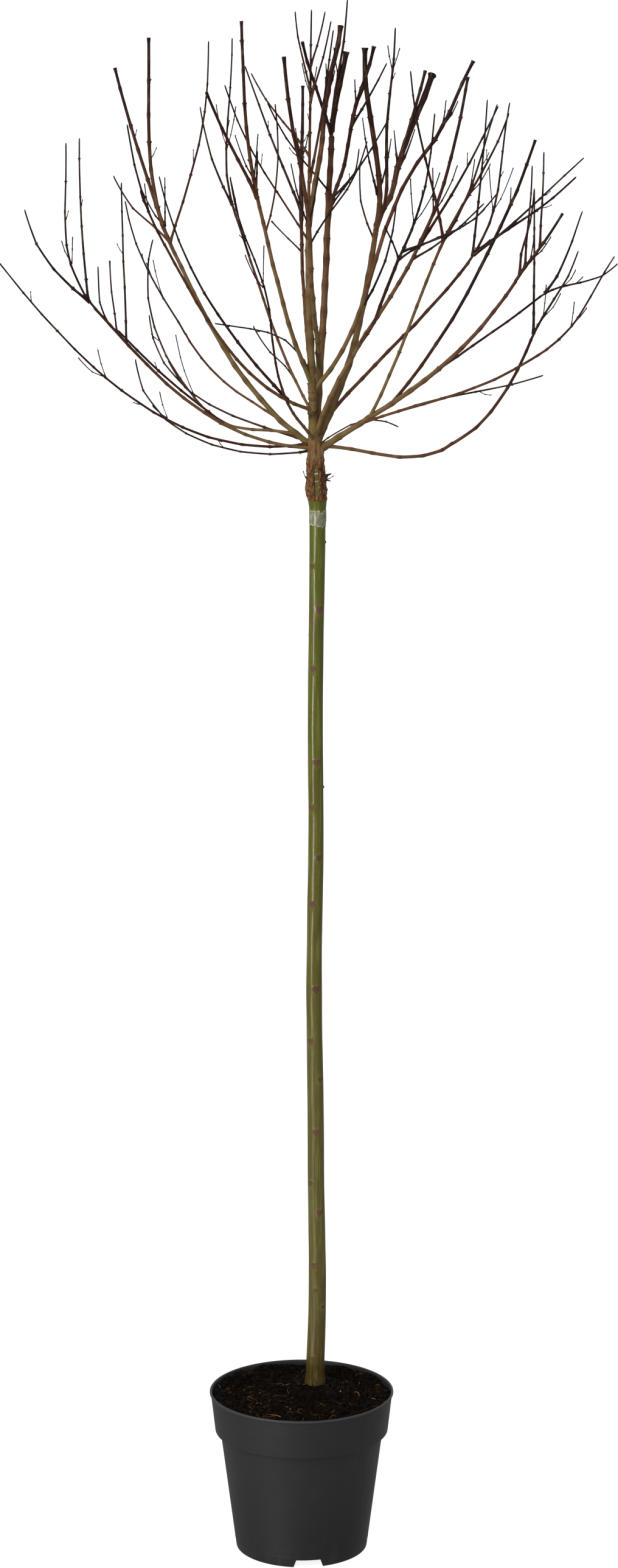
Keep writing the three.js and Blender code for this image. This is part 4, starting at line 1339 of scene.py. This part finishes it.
# Further whips that stand out of each mass: the mass, what it grows from ("" for the mass's own
# tall whip) and the share of that one's length, the angle where it leaves, its tip, the angle
# there, its girths, and whether it ends in a cut.
whips = [
    ("left_main", "", 0.13, 64, (-274, 110, 2251), 70, (5, 4), True),
    ("left_main", "", 0.04, 58, (-132, -60, 2290), 92, (3.6, 1.6), False),
    ("left_main", "", 0.05, 40, (-276, 100, 2092), 66, (2.8, 1.5), False),
    ("left_low", "", 0.04, 38, (-393, -120, 2055), 78, (3.2, 1.5), False),
    ("left_low", "", 0.06, 62, (-318, -60, 2153), 96, (3.4, 1.6), False),
    ("back_left", "", 0.06, 56, (-153, 280, 2186), 80, (3, 1.5), False),
    ("left_upright", "", 0.04, 57, (-133, -160, 2224), 62, (4.6, 3.6), True),
    ("left_upright", "", 0.07, 84, (-62, -110, 2137), 96, (2.6, 1.5), False),
    ("middle_upright", "", 0.3, 50, (-71, 20, 2243), 60, (2.8, 1.5), False),
    ("middle_upright", "", 0.17, 76, (46, -20, 2305), 82, (4.2, 1.8), False),
    ("middle_upright", "", 0.62, 62, (-8, -100, 2332), 80, (2.6, 1.5), False),
    ("middle_upright", "", 0.74, 66, (34, -30, 2331), 80, (2.4, 1.5), False),
    ("middle_upright", "", 0.56, 58, (42, -120, 2319), 66, (2.8, 1.5), False),
    ("back_upright", "", 0.05, 62, (-84, 270, 2247), 66, (4, 2.2), False),
    ("leader", "", 0.03, 87, (66, 50, 2276), 83, (7.6, 6.8), True),
    ("leader", "", 0.02, 54, (2, -20, 2291), 62, (4.6, 4), True),
    ("front_top", "", 0.03, 50, (120, -130, 2261), 58, (3.6, 1.8), False),
    ("front_right", "", 0.05, 20, (256, -220, 2063), 46, (2.8, 1.5), False),
    ("right_front_high", "", 0.03, 56, (278, -130, 2201), 64, (4.2, 2.2), False),
    ("right_inner", "", 0.04, 78, (156, -100, 2249), 84, (4, 2.2), False),
    ("right_inner", "", 0.06, 50, (282, -20, 2200), 68, (3.2, 1.5), False),
    ("right_back", "", 0.04, 82, (277, 180, 2200), 86, (3.6, 1.8), False),
    ("right_back", "", 0.05, 36, (416, 120, 2118), 42, (3.8, 2), False),
    ("right_back", "", 0.07, 30, (414, 260, 2083), 38, (4.4, 2.8), False),
    ("right_main", "", 0.08, 86, (344, 100, 2073), 90, (3, 1.6), False),
    ("right_main", "", 0.2, 86, (338, 50, 2109), 94, (2.8, 1.5), False),
    ("right_main", "", 0.5, 86, (352, 0, 2131), 94, (2.8, 1.5), False),
    ("right_back_low", "", 0.06, 48, (416, 120, 2039), 70, (3.2, 1.5), False),
    ("sweep_high", "", 0.05, 94, (341, 40, 2075), 86, (3.2, 1.5), False),
    ("left_front", "left_front", 0.14, 46, (-201, -120, 2102), 76, (4.4, 2), False),
    ("left_back_low", "left_back_low", 0.78, 36, (-266, 0, 1874), 46, (3.6, 3), False),
    ("left_low", "left_low", 0.93, 56, (-291, -100, 1973), 88, (2.1, 1.4), False),
    ("left_low", "left_low", 0.88, 64, (-277, -40, 1980), 92, (2.1, 1.4), True),
    ("left_low", "left_low", 0.83, 78, (-261, 0, 2087), 84, (2.6, 1.4), False),
    ("left_back", "stem", 0.9905, 12, (-228, 160, 1882), 84, (3, 1.4), False),
    ("back_left", "middle_upright", 0.27, 62, (-128, 160, 1872), 4, (2.2, 1), False),
    ("back_left", "back_left", 0.2, 44, (-71, 150, 1867), 56, (1.8, 1), False),
    ("back_left", "back_left", 0.8, 66, (-106, 180, 2086), 74, (2.2, 1.3), False),
    ("left_upright", "left_upright", 0.86, 40, (-37, -40, 2201), 112, (2.4, 1.4), False),
    ("middle_upright", "middle_upright", 0.9, 54, (-107, -120, 2230), 70, (2.6, 1.4), False),
    ("back_upright", "back_upright", 0.85, 42, (-45, 220, 2021), 46, (2.1, 1.4), True),
    ("middle_top", "middle_upright", 0.87, 48, (96, 80, 2143), 66, (2.4, 1.4), False),
    ("leader", "leader", 0.79, 42, (127, 60, 2177), 60, (2.8, 1.5), False),
    ("leader", "leader", 0.74, 58, (83, -60, 2138), 84, (2.4, 1.3), False),
    ("leader", "leader", 0.82, 42, (-47, -40, 2203), 58, (2.4, 1.3), False),
    ("right_high", "back_top", 0.64, 50, (140, 50, 2061), 84, (3.6, 1.8), False),
    ("back_top", "back_top", 0.92, 44, (87, 150, 2103), 100, (2.4, 1.3), False),
    ("back_right_high", "", 0.2, 64, (187, 270, 2243), 66, (4.8, 4.2), True),
    ("right_front_high", "right_front_high", 0.97, 26, (260, -90, 2063), 44, (2.6, 1.2), False),
    ("front_right", "front_right", 0.97, 28, (281, -50, 2075), 46, (2.6, 1.2), False),
    ("front_right", "front_right", 0.98, 62, (118, -230, 2040), 48, (2.2, 1.2), False),
    ("right_front_low", "right_front_low", 0.2, 22, (344, -140, 1823), 20, (2.6, 1.3), False),
    ("sweep_high", "stem", 0.9852, 26, (144, 140, 1720), -24, (1.8, 0.7), False),
]
whip_lines = {}
for mass, parent, share, leave, tip, arrive, girths, cut in whips:
    start, tip = lines[parent or "twigs_" + mass].at(share), Vector(tip)
    line = bent_twig(start, heading(start, tip, leave), tip, arrive)
    whip_lines.setdefault(mass, []).append((line, girths, cut, parent == "stem"))

bough_barks = {name: barks for name, *rest, barks in boughs}
bough_barks.update({"far_left": (0.5, 0.62), "under_left": (0.6, 0.7)})


# How far apart, in mm, the joints of whips and of side twigs are, and the spurs of a whip.
whip_joint_gap, twig_joint_gap, spur_gap = 44, 30, 170


def lay_spurs(skeleton, line, girth, random):
    """Short spurs, a bud or two long, on one whip."""
    for share in joint_shares(line.length, spur_gap, random, 0.8):
        along = line.way(share)
        side = across_from(along, 360 * random())
        leaving = along * 0.8 + side * 0.6
        start = line.at(share)
        tip = start + leaving * (7 + 12 * random()) + Vector((0, 0, 3))
        spur = Line(start, leaving, tip, (leaving + Vector((0, 0, 0.5))).normalized())
        girths = (min(girth * 0.55, 1.7), 1.2)
        lay_limb(skeleton, spur, girths, dark_barks, [0.55], 90, random, {"buds": 0.5})


def tip_bark(cut):
    """Thin tips are the darkest; a whip that was cut short ends in older bark."""
    return 0.9 if cut else 0.97


# Whips stouter than the slim girth, in mm, have joints and buds no larger than one of that girth.
slim_girth = 4.5
# How much stouter than its solid each finished whip is, and the least girth of its tip. Of the
# further whips the thin ones gain the most.
main_fullness, main_tip = 1.12, 2.4
thin_girth, thin_fullness, whip_fullness, whip_tip = 3.3, 1.28, 1.08, 2.3
for name, main, girths, rule, options in placed_masses:
    share, lean, length, turn, seed, cut = rule
    random = seeded(500 + seed)
    twigs = side_twigs("twigs_" + name, share, lean, length, turn, seed)
    for k, line in enumerate(twigs):
        wood_samples[f"side_{name}_{k}"] = line.samples()
    skeleton = Skeleton()
    foot_bark = min(bough_barks[name][1] + options.pop("foot bark"), 0.95)
    joints = clear_of(joint_shares(main.length, whip_joint_gap, random), [share] if twigs else [], 0.03)
    slimness = min(1, slim_girth / girths[0])
    options.update({"cut": cut, "missing": 0.2, "swelling": 0.22 * slimness, "buds": 0.42 * slimness})
    full = (girths[0] * main_fullness, max(girths[1] * main_fullness, main_tip))
    lay_limb(skeleton, main, full, (foot_bark, tip_bark(cut)), joints, turn, random, options)
    for line in twigs:
        foot = (girths[0] + (girths[1] - girths[0]) * share) * 0.5
        joints = joint_shares(line.length, twig_joint_gap, random, 0.7)
        side_options = {"flare": 0.8, "sunk": foot * 0.6, "missing": 0.2, "swelling": 0.35}
        lay_limb(skeleton, line, (foot, 1.8), (0.86, 0.98), joints, 90 * random(), random, side_options)
    for line, whip_girths, whip_cut, from_stem in whip_lines.get(name, []):
        joints = joint_shares(line.length, whip_joint_gap, random, 0.7)
        slimness = min(1, slim_girth / whip_girths[0])
        whip_foot_bark = 0.55 if from_stem else min(foot_bark + 0.1, 0.92)
        whip_options = {"sunk": 14 if from_stem else 2, "flare": 0.6 * slimness ** 1.5}
        whip_options.update({"cut": whip_cut, "missing": 0.2})
        whip_options.update({"swelling": 0.28 * slimness, "buds": 0.42 * slimness})
        grown = thin_fullness if whip_girths[0] < thin_girth else whip_fullness
        full = (whip_girths[0] * grown, max(whip_girths[1] * grown, whip_tip))
        barks = (whip_foot_bark, tip_bark(whip_cut))
        lay_limb(skeleton, line, full, barks, joints, 90 * random(), random, whip_options)
        lay_spurs(skeleton, line, whip_girths[0], random)
    lay_spurs(skeleton, main, girths[0], random)
    grown_piece("whips_" + name, skeleton, 8, 0.05, "twigs_" + name)


dressed_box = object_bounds()
sizes = {"cad": [list(corner) for corner in packed_box], "visual": [list(corner) for corner in dressed_box]}
